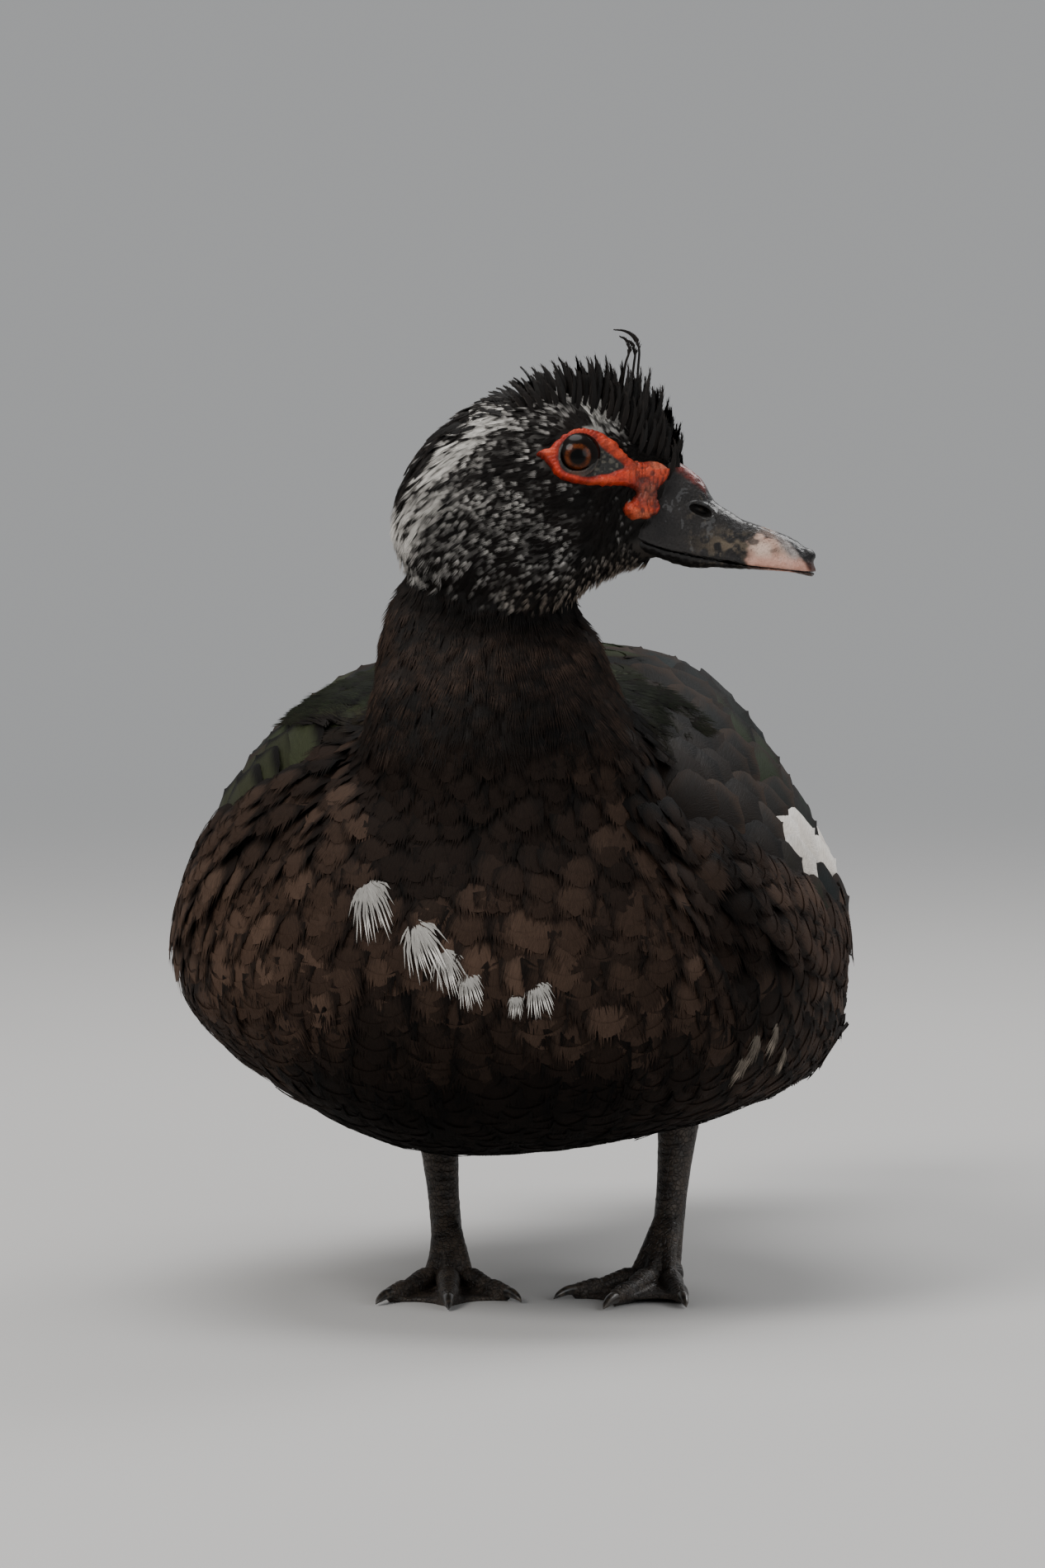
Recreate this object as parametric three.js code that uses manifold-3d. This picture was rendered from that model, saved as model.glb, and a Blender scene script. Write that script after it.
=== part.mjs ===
// A muscovy duck hen, life size, standing at rest with her head turned to her left.
// Millimetres. +Z is up, the breast faces -Y and the tail +Y, and her left side is +X.
import * as THREE from "three";
import { mergeVertices } from "three/addons/utils/BufferGeometryUtils.js";
import Module from "manifold-3d";

const wasm = await Module();
wasm.setup();
const { Manifold, Mesh } = wasm;

// Driving sizes
const GAP = 0.3; // between pieces that meet
const SLIVER = 0.02; // edges shorter than this are closed up after a cut
const BREAST_Y = -122; // foremost point of the breast
const BODY_LENGTH = 362; // breast to the root of the tail feathers
const HEAD_AT = new THREE.Vector3(37, -55.5, 292); // the point midway between the eyes
const HEAD_TURN = THREE.MathUtils.degToRad(8); // the bill points this far round from +X
const EYE_RADIUS = 8.3;
const EYE_ASIDE = 16.6; // eye centre from the head's middle
const BACK_FULLNESS = 2.45; // how square the trunk's upper outline is, 2 being an ellipse
// How far each quarter of the trunk's outline is set to her left, as a share of the half width
const LEAN = { upperLeft: -0.17, upperRight: 0.06, lowerLeft: 0.08, lowerRight: 0.1 };
const WING_DEPTH = 9; // how deep the folded wing is let into the flank
const WING_MIDDLE = -4; // the level, from the flank's surface, where the wing's core is broadest
const WING_OUTER = -1.2; // the core's outer face
const SHANK_CUT_Z = 15; // where the shank meets the foot
const TAIL_CUT_Y = 200; // where the trunk meets the tail
const SEAM_AT = new THREE.Vector3(0, -35, 209); // a point of the slanted cut between neck and trunk
const SEAM_NORMAL = new THREE.Vector3(0, -0.45, 0.89).normalize();

// Trunk sections: y, half width, back level, belly level, level of the widest line, fullness of the
// flanks below it
const TRUNK = [
  [-122, 0, 116, 116, 116, 1.95],
  [-113, 45, 151, 84, 116, 1.95],
  [-97, 73, 174, 66, 115, 1.95],
  [-70, 95, 193, 56, 114, 1.95],
  [-35, 107, 209, 52, 113, 2],
  [5, 111, 218, 53, 113, 2.3],
  [45, 111, 221, 59, 114, 2.7],
  [90, 102, 217, 70, 119, 2.6],
  [130, 84, 205, 84, 127, 2.4],
  [165, 62, 188, 100, 134, 2.1],
  [200, 41, 169, 117, 142, 2],
  [240, 27, 155, 131, 144, 2],
];

// Neck sections: x, y, z of the middle, half width, half depth
const NECK = [
  [8, -50, 142, 60, 54],
  [10, -54, 164, 60, 52],
  [11, -57, 180, 54, 47],
  [10, -60, 195, 48, 41],
  [8, -61, 210, 43.5, 36],
  [6, -61, 224, 39.5, 30],
  [3, -60, 238, 34, 23],
  [1, -58, 252, 26, 15],
];

// Head sections: distance ahead of the eye, half width, crown level, throat level, level of the widest line
const HEAD = [
  [-63, 7, -19, -32, -25],
  [-60, 13, -11, -39, -24],
  [-55, 17.5, -1, -45, -23],
  [-47, 21.5, 9.5, -50.5, -21],
  [-36, 24.5, 18, -55, -20],
  [-22, 26.5, 23.5, -57.5, -19],
  [-11, 26.5, 26, -56, -18],
  [-4, 26, 26.7, -52, -17.5],
  [0, 25.5, 26.7, -48.5, -17.5],
  [7, 22.5, 25.5, -43, -17],
  [16, 17.5, 21.5, -39, -17],
  [22, 14.2, 17.5, -37.5, -17.5],
  [28, 12.4, 11, -36, -18.5],
  [33, 9.5, 2, -34, -19.5],
];

// Bill sections: distance ahead of the eye, half width, culmen level, lower edge, level of the widest line
const BILL = [
  [10, 11, -8, -30, -24],
  [20, 12.4, -4, -32.5, -27],
  [28, 12.2, 0, -35.2, -29],
  [34, 11.6, -3.1, -37, -31],
  [38, 11.2, -6, -37.8, -32],
  [42, 10.8, -10, -38.1, -33],
  [44, 10.6, -13.6, -38.1, -33.2],
  [50, 10.3, -19, -38.2, -34],
  [57, 10.3, -22.5, -38.4, -35],
  [64, 10.2, -25.1, -38.8, -36],
  [70, 9, -27.4, -39.3, -37],
  [75, 6.8, -30.6, -40.2, -38],
  [78, 4.4, -34.4, -41, -38.8],
];
const BILL_TIP = [79.6, -39.4];

// Edge of the feathers round the base of the bill, from the forehead down to the chin
const BILL_EDGE = [
  [34.5, 20],
  [34, -1],
  [31.6, -3.8],
  [29.5, -7.5],
  [27.6, -11.7],
  [27.5, -19.9],
  [22, -24],
  [18, -26.7],
  [19.5, -30.5],
  [24, -34],
  [27, -37],
  [27, -60],
];
const NOSTRIL = { ahead: 41.2, up: -18.6, slope: 0.33, length: 8.4, height: 3.6 };

// The gape in profile: distance ahead of the eye, level
const GAPE = [
  [10, -25],
  [19.7, -27.4],
  [23, -29.4],
  [30, -31.6],
  [39, -33.5],
  [46, -34.8],
  [53, -36.1],
  [58, -36.9],
  [73, -38.6],
  [90, -40.6],
];

const { degToRad, lerp, clamp } = THREE.MathUtils;
const vec = (x, y, z) => new THREE.Vector3(x, y, z);
// Seeded draws, so that the same bird comes out each time
function draws(seed) {
  let state = seed;
  return (from, to) => {
    state = (Math.imul(state, 1664525) + 1013904223) >>> 0;
    return lerp(from, to, state / 2 ** 32);
  };
}
const steps = (count) => Array.from({ length: count }, (_, i) => (count > 1 ? i / (count - 1) : 0));

// A smooth curve through one column of a table whose first column rises. shape bends the first column
// before use.
function through(table, column, shape = (x) => x) {
  const xs = table.map((row) => shape(row[0]));
  const ys = table.map((row) => row[column]);
  const last = xs.length - 1;
  const grade = (i) => (ys[i + 1] - ys[i]) / (xs[i + 1] - xs[i]);
  const slopes = xs.map((x, i) => {
    if (i === 0) return grade(0);
    if (i === last) return grade(last - 1);
    const before = x - xs[i - 1];
    const after = xs[i + 1] - x;
    return (grade(i) * before + grade(i - 1) * after) / (before + after);
  });
  return (value) => {
    const x = clamp(shape(value), xs[0], xs[last]);
    let i = 0;
    while (i < last - 1 && x > xs[i + 1]) i++;
    const width = xs[i + 1] - xs[i];
    const t = (x - xs[i]) / width;
    const a = ys[i] * (1 + 2 * t) * (1 - t) ** 2 + slopes[i] * width * t * (1 - t) ** 2;
    return a + ys[i + 1] * t * t * (3 - 2 * t) + slopes[i + 1] * width * t * t * (t - 1);
  };
}

// A point on a rounded outline: turn 0 is at its widest on the +side, a quarter turn is its top.
function outline(turn, half, up, down, upPower, downPower) {
  const c = Math.cos(turn);
  const s = Math.sin(turn);
  const blend = THREE.MathUtils.smoothstep(s, -0.35, 0.35);
  const power = lerp(downPower, upPower, blend);
  const r = (Math.abs(c) ** power + Math.abs(s) ** power) ** (-1 / power);
  return [half * r * c, (s > 0 ? up : down) * r * s];
}

// The normal of a surface place(turn, along), by its neighbours.
function normalOf(place, turn, along, stepTurn, stepAlong) {
  const a = place(turn + stepTurn, along).sub(place(turn - stepTurn, along));
  const b = place(turn, along + stepAlong).sub(place(turn, along - stepAlong));
  return a.cross(b).normalize();
}

// Trunk surface at y, lifted outward by lift
const fromBreast = (y) => Math.sqrt(Math.max(0, y - BREAST_Y));
const trunkHalf = through(TRUNK, 1, fromBreast);
const trunkTop = through(TRUNK, 2, fromBreast);
const trunkBottom = through(TRUNK, 3, fromBreast);
const trunkWide = through(TRUNK, 4, fromBreast);
const trunkFull = through(TRUNK, 5, fromBreast);
function trunkBare(turn, y) {
  const wide = trunkWide(y);
  const half = trunkHalf(y);
  const up = trunkTop(y) - wide;
  const [x, z] = outline(turn, half, up, wide - trunkBottom(y), BACK_FULLNESS, trunkFull(y));
  const upper = (x > 0 ? LEAN.upperLeft : LEAN.upperRight) * Math.cos(turn) ** 2;
  const lower = x > 0 ? LEAN.lowerLeft : LEAN.lowerRight;
  return vec(x + (z > 0 ? upper : lower) * half * Math.sin(2 * turn) ** 2, y, wide + z);
}
function trunk(turn, y, lift = 0) {
  const p = trunkBare(turn, y);
  if (!lift) return p;
  return p.addScaledVector(normalOf(trunkBare, turn, Math.max(y, BREAST_Y + 3), 0.02, 1), -lift);
}

// Neck surface, t from its root to its top
const neckLine = new THREE.CatmullRomCurve3(NECK.map(([x, y, z]) => vec(x, y, z)));
const neckShare = NECK.map((row, i) => [i / (NECK.length - 1), row[3], row[4]]);
const neckHalf = through(neckShare, 1);
const neckDeep = through(neckShare, 2);
function neck(turn, t) {
  const middle = neckLine.getPoint(t);
  const along = neckLine.getTangent(t);
  const back = vec(0, 1, 0).addScaledVector(along, -along.y).normalize();
  const side = new THREE.Vector3().crossVectors(back, along).normalize();
  return middle
    .addScaledVector(side, neckHalf(t) * Math.cos(turn))
    .addScaledVector(back, neckDeep(t) * Math.sin(turn));
}

// Head surface in the head's own frame: x ahead, y to her left, z up, from the point between the eyes
const headHalf = through(HEAD, 1);
const headTop = through(HEAD, 2);
const headBottom = through(HEAD, 3);
const headWide = through(HEAD, 4);
function headBare(turn, ahead) {
  const wide = headWide(ahead);
  const [over, under] = [headTop(ahead) - wide, wide - headBottom(ahead)];
  const [side, up] = outline(turn, headHalf(ahead), over, under, 1.85, 2.8);
  return vec(ahead, side, wide + up);
}
function head(turn, ahead, lift = 0) {
  const p = headBare(turn, ahead);
  if (!lift) return p;
  return p.addScaledVector(normalOf(headBare, turn, ahead, 0.02, 0.5), lift);
}

// Solids

// A mesh as a manifold-3d solid, facing out.
function solid(geometry) {
  const bare = geometry.clone();
  bare.deleteAttribute("normal");
  bare.deleteAttribute("uv");
  const merged = mergeVertices(bare, 1e-4);
  const vertProperties = merged.attributes.position.array;
  const triVerts = new Uint32Array(merged.index.array);
  const made = new Manifold(new Mesh({ numProp: 3, vertProperties, triVerts }));
  if (made.volume() > 0) return made;
  triVerts.reverse();
  return new Manifold(new Mesh({ numProp: 3, vertProperties, triVerts }));
}

// A closed form: a sphere's mesh laid over place(turn, t), with t from 0 to 1. Each end closes on a tip,
// or flat.
function form(around, rings, place, tips = []) {
  const geometry = new THREE.SphereGeometry(1, around, rings + 1);
  const { uv, position } = geometry.attributes;
  const turns = steps(around + 1).slice(1);
  const tipOf = (t) => {
    const sum = turns.reduce((total, turn) => total.add(place(turn * 2 * Math.PI, t)), vec(0, 0, 0));
    return sum.divideScalar(around);
  };
  const ends = [tips[0] ?? tipOf(0), tips[1] ?? tipOf(1)];
  for (let i = 0; i < uv.count; i++) {
    const ring = Math.round((1 - uv.getY(i)) * (rings + 1));
    const turn = (uv.getX(i) % 1) * 2 * Math.PI;
    let p = place(turn, clamp((ring - 1) / (rings - 1), 0, 1));
    if (ring === 0) p = ends[0];
    if (ring === rings + 1) p = ends[1];
    position.setXYZ(i, p.x, p.y, p.z);
  }
  return solid(geometry);
}

// A ball of three radii, at a point.
function ball(at, rx, ry, rz, around = 12, rings = 8) {
  const geometry = new THREE.SphereGeometry(1, around, rings);
  geometry.scale(rx, ry, rz).rotateX(Math.PI / 2).translate(at.x, at.y, at.z);
  return solid(geometry);
}

// A tapered rod of radii along points, with round-ish ends.
function rod(points, radii, sides = 8, flatten = 1, rings = points.length * 2) {
  const curve = new THREE.CatmullRomCurve3(points);
  const share = radii.map((r, i) => [i / (radii.length - 1), r]);
  const radius = through(share, 1);
  const place = (turn, t) => {
    const along = curve.getTangent(t);
    const level = Math.abs(along.z) > 0.9 ? vec(0, 1, 0) : vec(0, 0, 1);
    const side = new THREE.Vector3().crossVectors(along, level).normalize();
    const up = new THREE.Vector3().crossVectors(side, along);
    return curve
      .getPoint(t)
      .addScaledVector(side, radius(t) * Math.cos(turn))
      .addScaledVector(up, flatten * radius(t) * Math.sin(turn));
  };
  return form(sides, rings, place);
}

// A vane or lock: a thin closed strip over stations of { at, side, out, half, thick }, split alike on
// both faces. Its middle may be pulled aside by pull, and ridged gives it a raised midline.
function vane(stations, ridged = false) {
  const top = ridged ? [[-1, 0], [0, 0.3], [1, 0]] : [[-1, 0], [1, 0]];
  const under = ridged ? [[1, -0.7], [0, -1], [-1, -0.7]] : [[1, -1], [-1, -1]];
  const section = [...top, ...under];
  const count = section.length;
  const positions = [];
  for (const { at, side, out, half, thick, pull } of stations)
    for (const [across, over] of section) {
      const p = at.clone().addScaledVector(side, across * half).addScaledVector(out, over * thick);
      if (pull && !across) p.add(pull);
      positions.push(p.x, p.y, p.z);
    }
  const faces = [];
  for (let i = 0; i + 1 < stations.length; i++)
    for (let j = 0; j < count; j++) {
      const [a, b] = [i * count + j, i * count + ((j + 1) % count)];
      const [c, d] = [b + count, a + count];
      if (j < top.length) faces.push(a, d, c, a, c, b);
      else faces.push(a, d, b, d, c, b);
    }
  const half = top.length;
  for (const [n, flip] of [[0, false], [(stations.length - 1) * count, true]])
    for (let j = 0; j + 1 < half; j++) {
      const [a, b, c, d] = [n + j, n + j + 1, n + count - 2 - j, n + count - 1 - j];
      faces.push(...(flip ? [c, b, a, d, c, a] : [a, b, c, a, c, d]));
    }
  const geometry = new THREE.BufferGeometry();
  geometry.setAttribute("position", new THREE.Float32BufferAttribute(positions, 3));
  geometry.setIndex(faces);
  return solid(geometry);
}

// The union's largest closed body, with the slivers that its cuts leave closed up.
function largest(made) {
  return made.decompose().reduce((a, b) => (b.volume() > a.volume() ? b : a)).simplify(SLIVER);
}
const joined = (pieces) => largest(Manifold.union(pieces));

function geometryOf(made) {
  const { numProp, vertProperties, triVerts, numVert } = made.getMesh();
  const flat = new Float32Array(numVert * 3);
  for (let i = 0; i < numVert; i++) flat.set(vertProperties.subarray(i * numProp, i * numProp + 3), i * 3);
  const geometry = new THREE.BufferGeometry();
  geometry.setAttribute("position", new THREE.BufferAttribute(flat, 3));
  geometry.setIndex(new THREE.BufferAttribute(triVerts, 1));
  return geometry;
}

function meshOf(name, made, colour, roughness = 0.7) {
  const material = new THREE.MeshStandardMaterial({ color: colour, roughness, metalness: 0 });
  const mesh = new THREE.Mesh(geometryOf(made), material);
  mesh.name = name;
  return mesh;
}

// Trunk, with pockets for the wings

const trunkPlace = (lift) => (turn, t) => trunk(turn, BREAST_Y + 1.5 + (BODY_LENGTH - 1.5) * t ** 1.5, lift);
const trunkForm = (lift = 0) => form(28, 16, trunkPlace(lift), [vec(0, BREAST_Y - lift, 120)]);

// The flank of one side as a surface of turn, y and lift, with her right one mirrored onto her left
const flank = (hand) => (turn, y, lift = 0) => {
  const p = trunk(hand > 0 ? turn : Math.PI - turn, y, lift);
  return p.setX(hand * p.x);
};
const FLANK_LEFT = flank(1);
const FLANK_RIGHT = flank(-1);

// The folded wing's patch of the flank: y, lower edge and upper edge as turns in degrees
const WING = [
  [-64, 24, 50],
  [-52, 17, 62],
  [-20, 8, 74],
  [30, 5, 79],
  [80, 12, 77],
  [120, 22, 70],
  [156, 36, 60],
];
const wingLow = through(WING, 1);
const wingHigh = through(WING, 2);

// A slab over the wing's patch of a flank between two lifts, with each edge moved out by grow.
function wingSlab(flankAt, inner, outer, grow = 0) {
  const first = WING[0][0] - 3 * grow;
  const last = WING[WING.length - 1][0] + 3 * grow;
  const spread = grow * 0.014;
  const place = (turn, t) => {
    const y = lerp(first, last, t);
    const [across, over] = outline(turn, 1, 1, 1, 5, 5);
    const at = lerp(degToRad(wingLow(y)) - spread, degToRad(wingHigh(y)) + spread, (1 + across) / 2);
    return flankAt(at, y, lerp(WING_MIDDLE, over > 0 ? outer : inner, Math.abs(over)));
  };
  return form(16, 9, place);
}

// Rows of wing feathers from front to back: y of the roots, lowest and highest as turns in degrees, how
// many, length, width, slant towards the spine, and how far the tips stand off the flank
const WING_ROWS = [
  { y: -60, from: 31, to: 42, count: 2, length: 34, width: 26, slant: 0, rise: 3.2 },
  { y: -46, from: 25, to: 48, count: 3, length: 40, width: 28, slant: 0, rise: 3.2 },
  { y: -24, from: 18, to: 62, count: 5, length: 44, width: 24, slant: 0, rise: 3.2 },
  { y: -1, from: 15, to: 70, count: 6, length: 48, width: 23, slant: 0, rise: 3.2 },
  { y: 24, from: 15, to: 69, count: 6, length: 58, width: 23, slant: 0, rise: 3.5 },
  { y: 52, from: 19, to: 40, count: 3, length: 70, width: 22, slant: 0.05, rise: 3.4 },
  { y: 52, from: 53, to: 67, count: 2, length: 72, width: 27, slant: 0, rise: 5 },
  { y: 82, from: 41, to: 60, count: 3, length: 80, width: 21, slant: 0.06, rise: 6.5 },
  { y: 104, from: 30, to: 45, count: 3, length: 96, width: 15, slant: 0.3, rise: 5 },
];
const ROOT_LIFT = -3.4; // feather roots lie this far inside the flank's surface
const VANE = 0.65; // thickness of a vane
const FLANK_RADIUS = 92;

function feather(flankAt, { y, turn, length, width, slant, rise, roll }) {
  const stations = [0, 0.4, 0.82, 1].map((s, i) => {
    const yAt = y + length * s * Math.cos(slant);
    const turnAt = turn + (length * s * Math.sin(slant)) / FLANK_RADIUS;
    const lift = lerp(ROOT_LIFT, rise, [0, 0.5, 0.9, 1][i]);
    const at = flankAt(turnAt, yAt, lift);
    const out = flankAt(turnAt, yAt, lift + 1).sub(at).normalize();
    const along = flankAt(turnAt + slant * 0.01, yAt + 1).sub(flankAt(turnAt, yAt));
    const side = new THREE.Vector3().crossVectors(out, along).normalize();
    const rolled = side.clone().multiplyScalar(Math.cos(roll)).addScaledVector(out, Math.sin(roll));
    out.multiplyScalar(Math.cos(roll)).addScaledVector(side, -Math.sin(roll));
    return { at, side: rolled, out, half: (width / 2) * [0.5, 1, 0.86, 0.4][i], thick: VANE };
  });
  return vane(stations);
}

function wingFeathers(flankAt) {
  const draw = draws(11);
  return WING_ROWS.flatMap(({ y, from, to, count, length, width, slant, rise }) => {
    const pitch = (degToRad(to - from) * FLANK_RADIUS) / Math.max(1, count - 1);
    const roll = -(VANE + 0.75) / pitch;
    return steps(count).map((share) => {
      const turn = degToRad(lerp(from, to, share));
      const reach = length * draw(0.96, 1.05);
      return feather(flankAt, { y: y + draw(-1.5, 1.5), turn, length: reach, width, slant, rise, roll });
    });
  });
}

// The same solid in a mirror, across the given axis.
function mirrored(made, axis = "x") {
  const geometry = geometryOf(made);
  geometry.scale(axis === "x" ? -1 : 1, axis === "y" ? -1 : 1, 1);
  return solid(geometry);
}

// The same solid carried by a matrix.
const carried = (made, matrix) => solid(geometryOf(made).applyMatrix4(matrix));

// Neck and trunk are one form, parted by a thin slanted cut

const neckForm = form(26, 11, neck);
const POCKET_REACH = 40; // the pockets are cut from this far outside the flank
const pocket = (flankAt) => wingSlab(flankAt, -WING_DEPTH - 2 * GAP, POCKET_REACH, 1.8 * GAP);
const wholeBody = trunkForm().add(neckForm);
const bodyForm = wholeBody.subtract(pocket(FLANK_LEFT)).subtract(mirrored(pocket(FLANK_RIGHT)));
const seamOffset = SEAM_AT.dot(SEAM_NORMAL);
const above = bodyForm.trimByPlane(SEAM_NORMAL.toArray(), seamOffset + GAP / 2);
const below = bodyForm.trimByPlane(SEAM_NORMAL.clone().negate().toArray(), GAP / 2 - seamOffset);

// Head and bill, in the head's own frame

const headForm = (lift = 0) => {
  const first = HEAD[0][0];
  const last = HEAD[HEAD.length - 1][0];
  return form(22, 15, (turn, t) => head(turn, lerp(first, last, (1 - Math.cos(Math.PI * t)) / 2), lift));
};

const billHalf = through(BILL, 1);
const billTop = through(BILL, 2);
const billBottom = through(BILL, 3);
const billWide = through(BILL, 4);
function bill(turn, ahead) {
  const wide = billWide(ahead);
  const [side, up] = outline(turn, billHalf(ahead), billTop(ahead) - wide, wide - billBottom(ahead), 1.9, 3);
  return vec(ahead, side, wide + up);
}

// A wall across the head, whose profile is a polygon of distance ahead and level.
function wall(points, half = 40) {
  const profile = new THREE.Shape(points.map(([x, y]) => new THREE.Vector2(x, y)));
  const geometry = new THREE.ExtrudeGeometry(profile, { depth: 2 * half, bevelEnabled: false });
  return solid(geometry.translate(0, 0, -half).rotateX(Math.PI / 2));
}

const FAR_AHEAD = 120;
const behindBill = (shift) => {
  const edge = BILL_EDGE.map(([x, y]) => [x + shift, y]);
  return wall([...edge, [FAR_AHEAD, -60], [FAR_AHEAD, 20]]);
};
const billFirst = BILL[0][0];
const billLast = BILL[BILL.length - 1][0];
const billPlace = (turn, t) => bill(turn, lerp(billFirst, billLast, 1 - (1 - t) ** 1.4));
const billForm = form(18, 13, billPlace, [null, vec(BILL_TIP[0], 0, BILL_TIP[1])]);
const nostrilSide = 8.2;
const nostril = (hand) => {
  const hole = new THREE.SphereGeometry(1, 12, 8);
  hole.scale(NOSTRIL.length / 2, 2.4, NOSTRIL.height / 2).rotateY(NOSTRIL.slope);
  return solid(hole.translate(NOSTRIL.ahead, hand * nostrilSide, NOSTRIL.up));
};
const billWhole = billForm.intersect(behindBill(GAP));
const overGape = wall([...GAPE, [FAR_AHEAD, GAPE[GAPE.length - 1][1]], [FAR_AHEAD, 30], [0, 30]]);
const underGape = wall([
  ...GAPE.map(([x, y]) => [x, y - 1.3 * GAP]),
  [FAR_AHEAD, GAPE[GAPE.length - 1][1] - GAP],
  [FAR_AHEAD, -70],
  [0, -70],
]);
const billUpper = largest(billWhole.intersect(overGape).subtract(nostril(1)).subtract(nostril(-1)));
const billLower = largest(billWhole.intersect(underGape));

const eyeAt = (hand) => vec(0, hand * EYE_ASIDE, 0);
const eye = (hand, grow = 0) => {
  const radius = EYE_RADIUS + grow;
  return ball(eyeAt(hand), radius, radius, radius, 14, 8);
};

// A place on the side of the head by its distance ahead and its level, with the surface's own directions
// there.
function onHead(ahead, level, hand, lift = 0) {
  let [low, high] = [-Math.PI / 2, Math.PI / 2];
  for (let i = 0; i < 24; i++) {
    const middle = (low + high) / 2;
    if (headBare(middle, ahead).z < level) low = middle;
    else high = middle;
  }
  const turn = hand > 0 ? low : Math.PI - low;
  const at = head(turn, ahead, lift);
  const out = normalOf(headBare, turn, ahead, 0.02, 0.5);
  return { at, out };
}

// A low swelling of bare skin on the side of the head.
function bump(ahead, level, hand, along, across, rise) {
  const { at, out } = onHead(ahead, level, hand);
  const up = vec(0, 0, 1).addScaledVector(out, -out.z).normalize();
  const side = new THREE.Vector3().crossVectors(up, out);
  const geometry = new THREE.SphereGeometry(1, 8, 4);
  const basis = new THREE.Matrix4().makeBasis(side, up, out).scale(vec(along, across, rise));
  return solid(geometry.rotateX(Math.PI / 2).applyMatrix4(basis.setPosition(at)));
}

// The lids and the ring of flesh about the eye, as a profile of distance from the eye's axis and height
// above its middle: the lid's edge, its crest, the furrow behind it, and the ring's crest and foot
const EYE_RING = [[5.8, 21.6], [7, 23.6], [8.1, 22.3], [9.5, 23.2], [11, 20.5], [8, 18.5]];
const EYE_RING_SIZE = { along: 1.03, across: 0.97 };
function eyeRing(hand) {
  const profile = [...EYE_RING, EYE_RING[0]].map(([out, high]) => new THREE.Vector2(out, high));
  const geometry = new THREE.LatheGeometry(profile, 18);
  return solid(geometry.scale(EYE_RING_SIZE.along, hand, EYE_RING_SIZE.across));
}

// A fold of bare skin along points of distance ahead, level and radius.
function fold(points, hand) {
  const places = points.map(([ahead, level]) => onHead(ahead, level, hand, 0.2).at);
  return rod(places, points.map((point) => point[2]), 5, 1, points.length + 1);
}

// Folds of the caruncle as distance ahead, level and radius, and its bumps as ahead, level and three half
// sizes
const UPPER_FOLD = [
  [3, 8, 1.5],
  [7.5, 6, 2],
  [11.5, 3.4, 2.5],
  [15, 0.2, 2.3],
  [19, -3.4, 2],
  [26, -6.5, 1.8],
];
const LOWER_FOLD = [[2, -9, 1.4], [7, -10, 1.7], [11.5, -9.4, 1.9], [16, -7.8, 1.8], [21, -6.8, 1.5]];
const BACK_FOLD = [[-14.5, 0.8, 0.7], [-12, 1.1, 1.1], [-8.5, 1.2, 1.4]];
const BUMPS = [
  [23, -8.5, 4.6, 3.8, 1.7],
  [24.2, -13.4, 3.2, 3.6, 1.6],
  [23.2, -18.2, 4, 3.4, 1.9],
  [19.2, -19, 3.6, 3.4, 1.8],
];

const caruncles = (hand) => [
  eyeRing(hand),
  fold(UPPER_FOLD, hand),
  fold(LOWER_FOLD, hand),
  fold(BACK_FOLD, hand),
  ...BUMPS.map(([ahead, level, along, across, rise]) => bump(ahead, level, hand, along, across, rise)),
];

// A lock of the crest: it leaves the crown at lean from the surface's normal and bends back by bend
// towards its tip.
function lock({ ahead, turn, length, width, lean, bend, twist }) {
  const at = head(turn, ahead, -1.6);
  const out = normalOf(headBare, turn, ahead, 0.02, 0.5);
  const back = vec(-1, 0, 0).addScaledVector(out, out.x).normalize();
  const stations = [0, 0.38, 0.75, 1].map((s, i) => {
    const angle = lean + bend * s;
    const face = out.clone().multiplyScalar(Math.sin(angle)).addScaledVector(back, -Math.cos(angle));
    const along = out.clone().multiplyScalar(Math.cos(angle)).addScaledVector(back, Math.sin(angle));
    const side = new THREE.Vector3().crossVectors(face, along).normalize();
    face.applyAxisAngle(along, twist);
    side.applyAxisAngle(along, twist);
    if (i) at.addScaledVector(along, length * [0, 0.38, 0.37, 0.25][i]);
    const half = (width / 2) * [0.8, 1, 0.72, 0.12][i];
    return { at: at.clone(), side, out: face, half, thick: LOCK_THICK };
  });
  return vane(stations);
}

// Rows of the crest from the brow back: distance ahead, how many, half spread in degrees, length, lean
// and bend
const CREST = [
  { ahead: 29.5, count: 4, spread: 42, length: 10, lean: 0.45, bend: 0.3 },
  { ahead: 24, count: 3, spread: 34, length: 13, lean: 0.42, bend: 0.4 },
  { ahead: 18, count: 4, spread: 46, length: 14.5, lean: 0.5, bend: 0.5 },
  { ahead: 11.5, count: 5, spread: 48, length: 15, lean: 0.6, bend: 0.5 },
  { ahead: 5, count: 4, spread: 42, length: 15.5, lean: 0.7, bend: 0.5 },
  { ahead: -2, count: 5, spread: 46, length: 15.5, lean: 0.85, bend: 0.45 },
  { ahead: -9, count: 4, spread: 40, length: 16, lean: 0.98, bend: 0.4 },
  { ahead: -17, count: 5, spread: 46, length: 16, lean: 1.1, bend: 0.32 },
  { ahead: -26, count: 4, spread: 40, length: 16, lean: 1.2, bend: 0.26 },
  { ahead: -35, count: 5, spread: 46, length: 15, lean: 1.26, bend: 0.24 },
];
const LOCK_WIDTH = 10;
const LOCK_THICK = 0.8;
const LOCK_TWIST = 1.3; // how far the middle locks of an upright row turn their flat sides outwards

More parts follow.
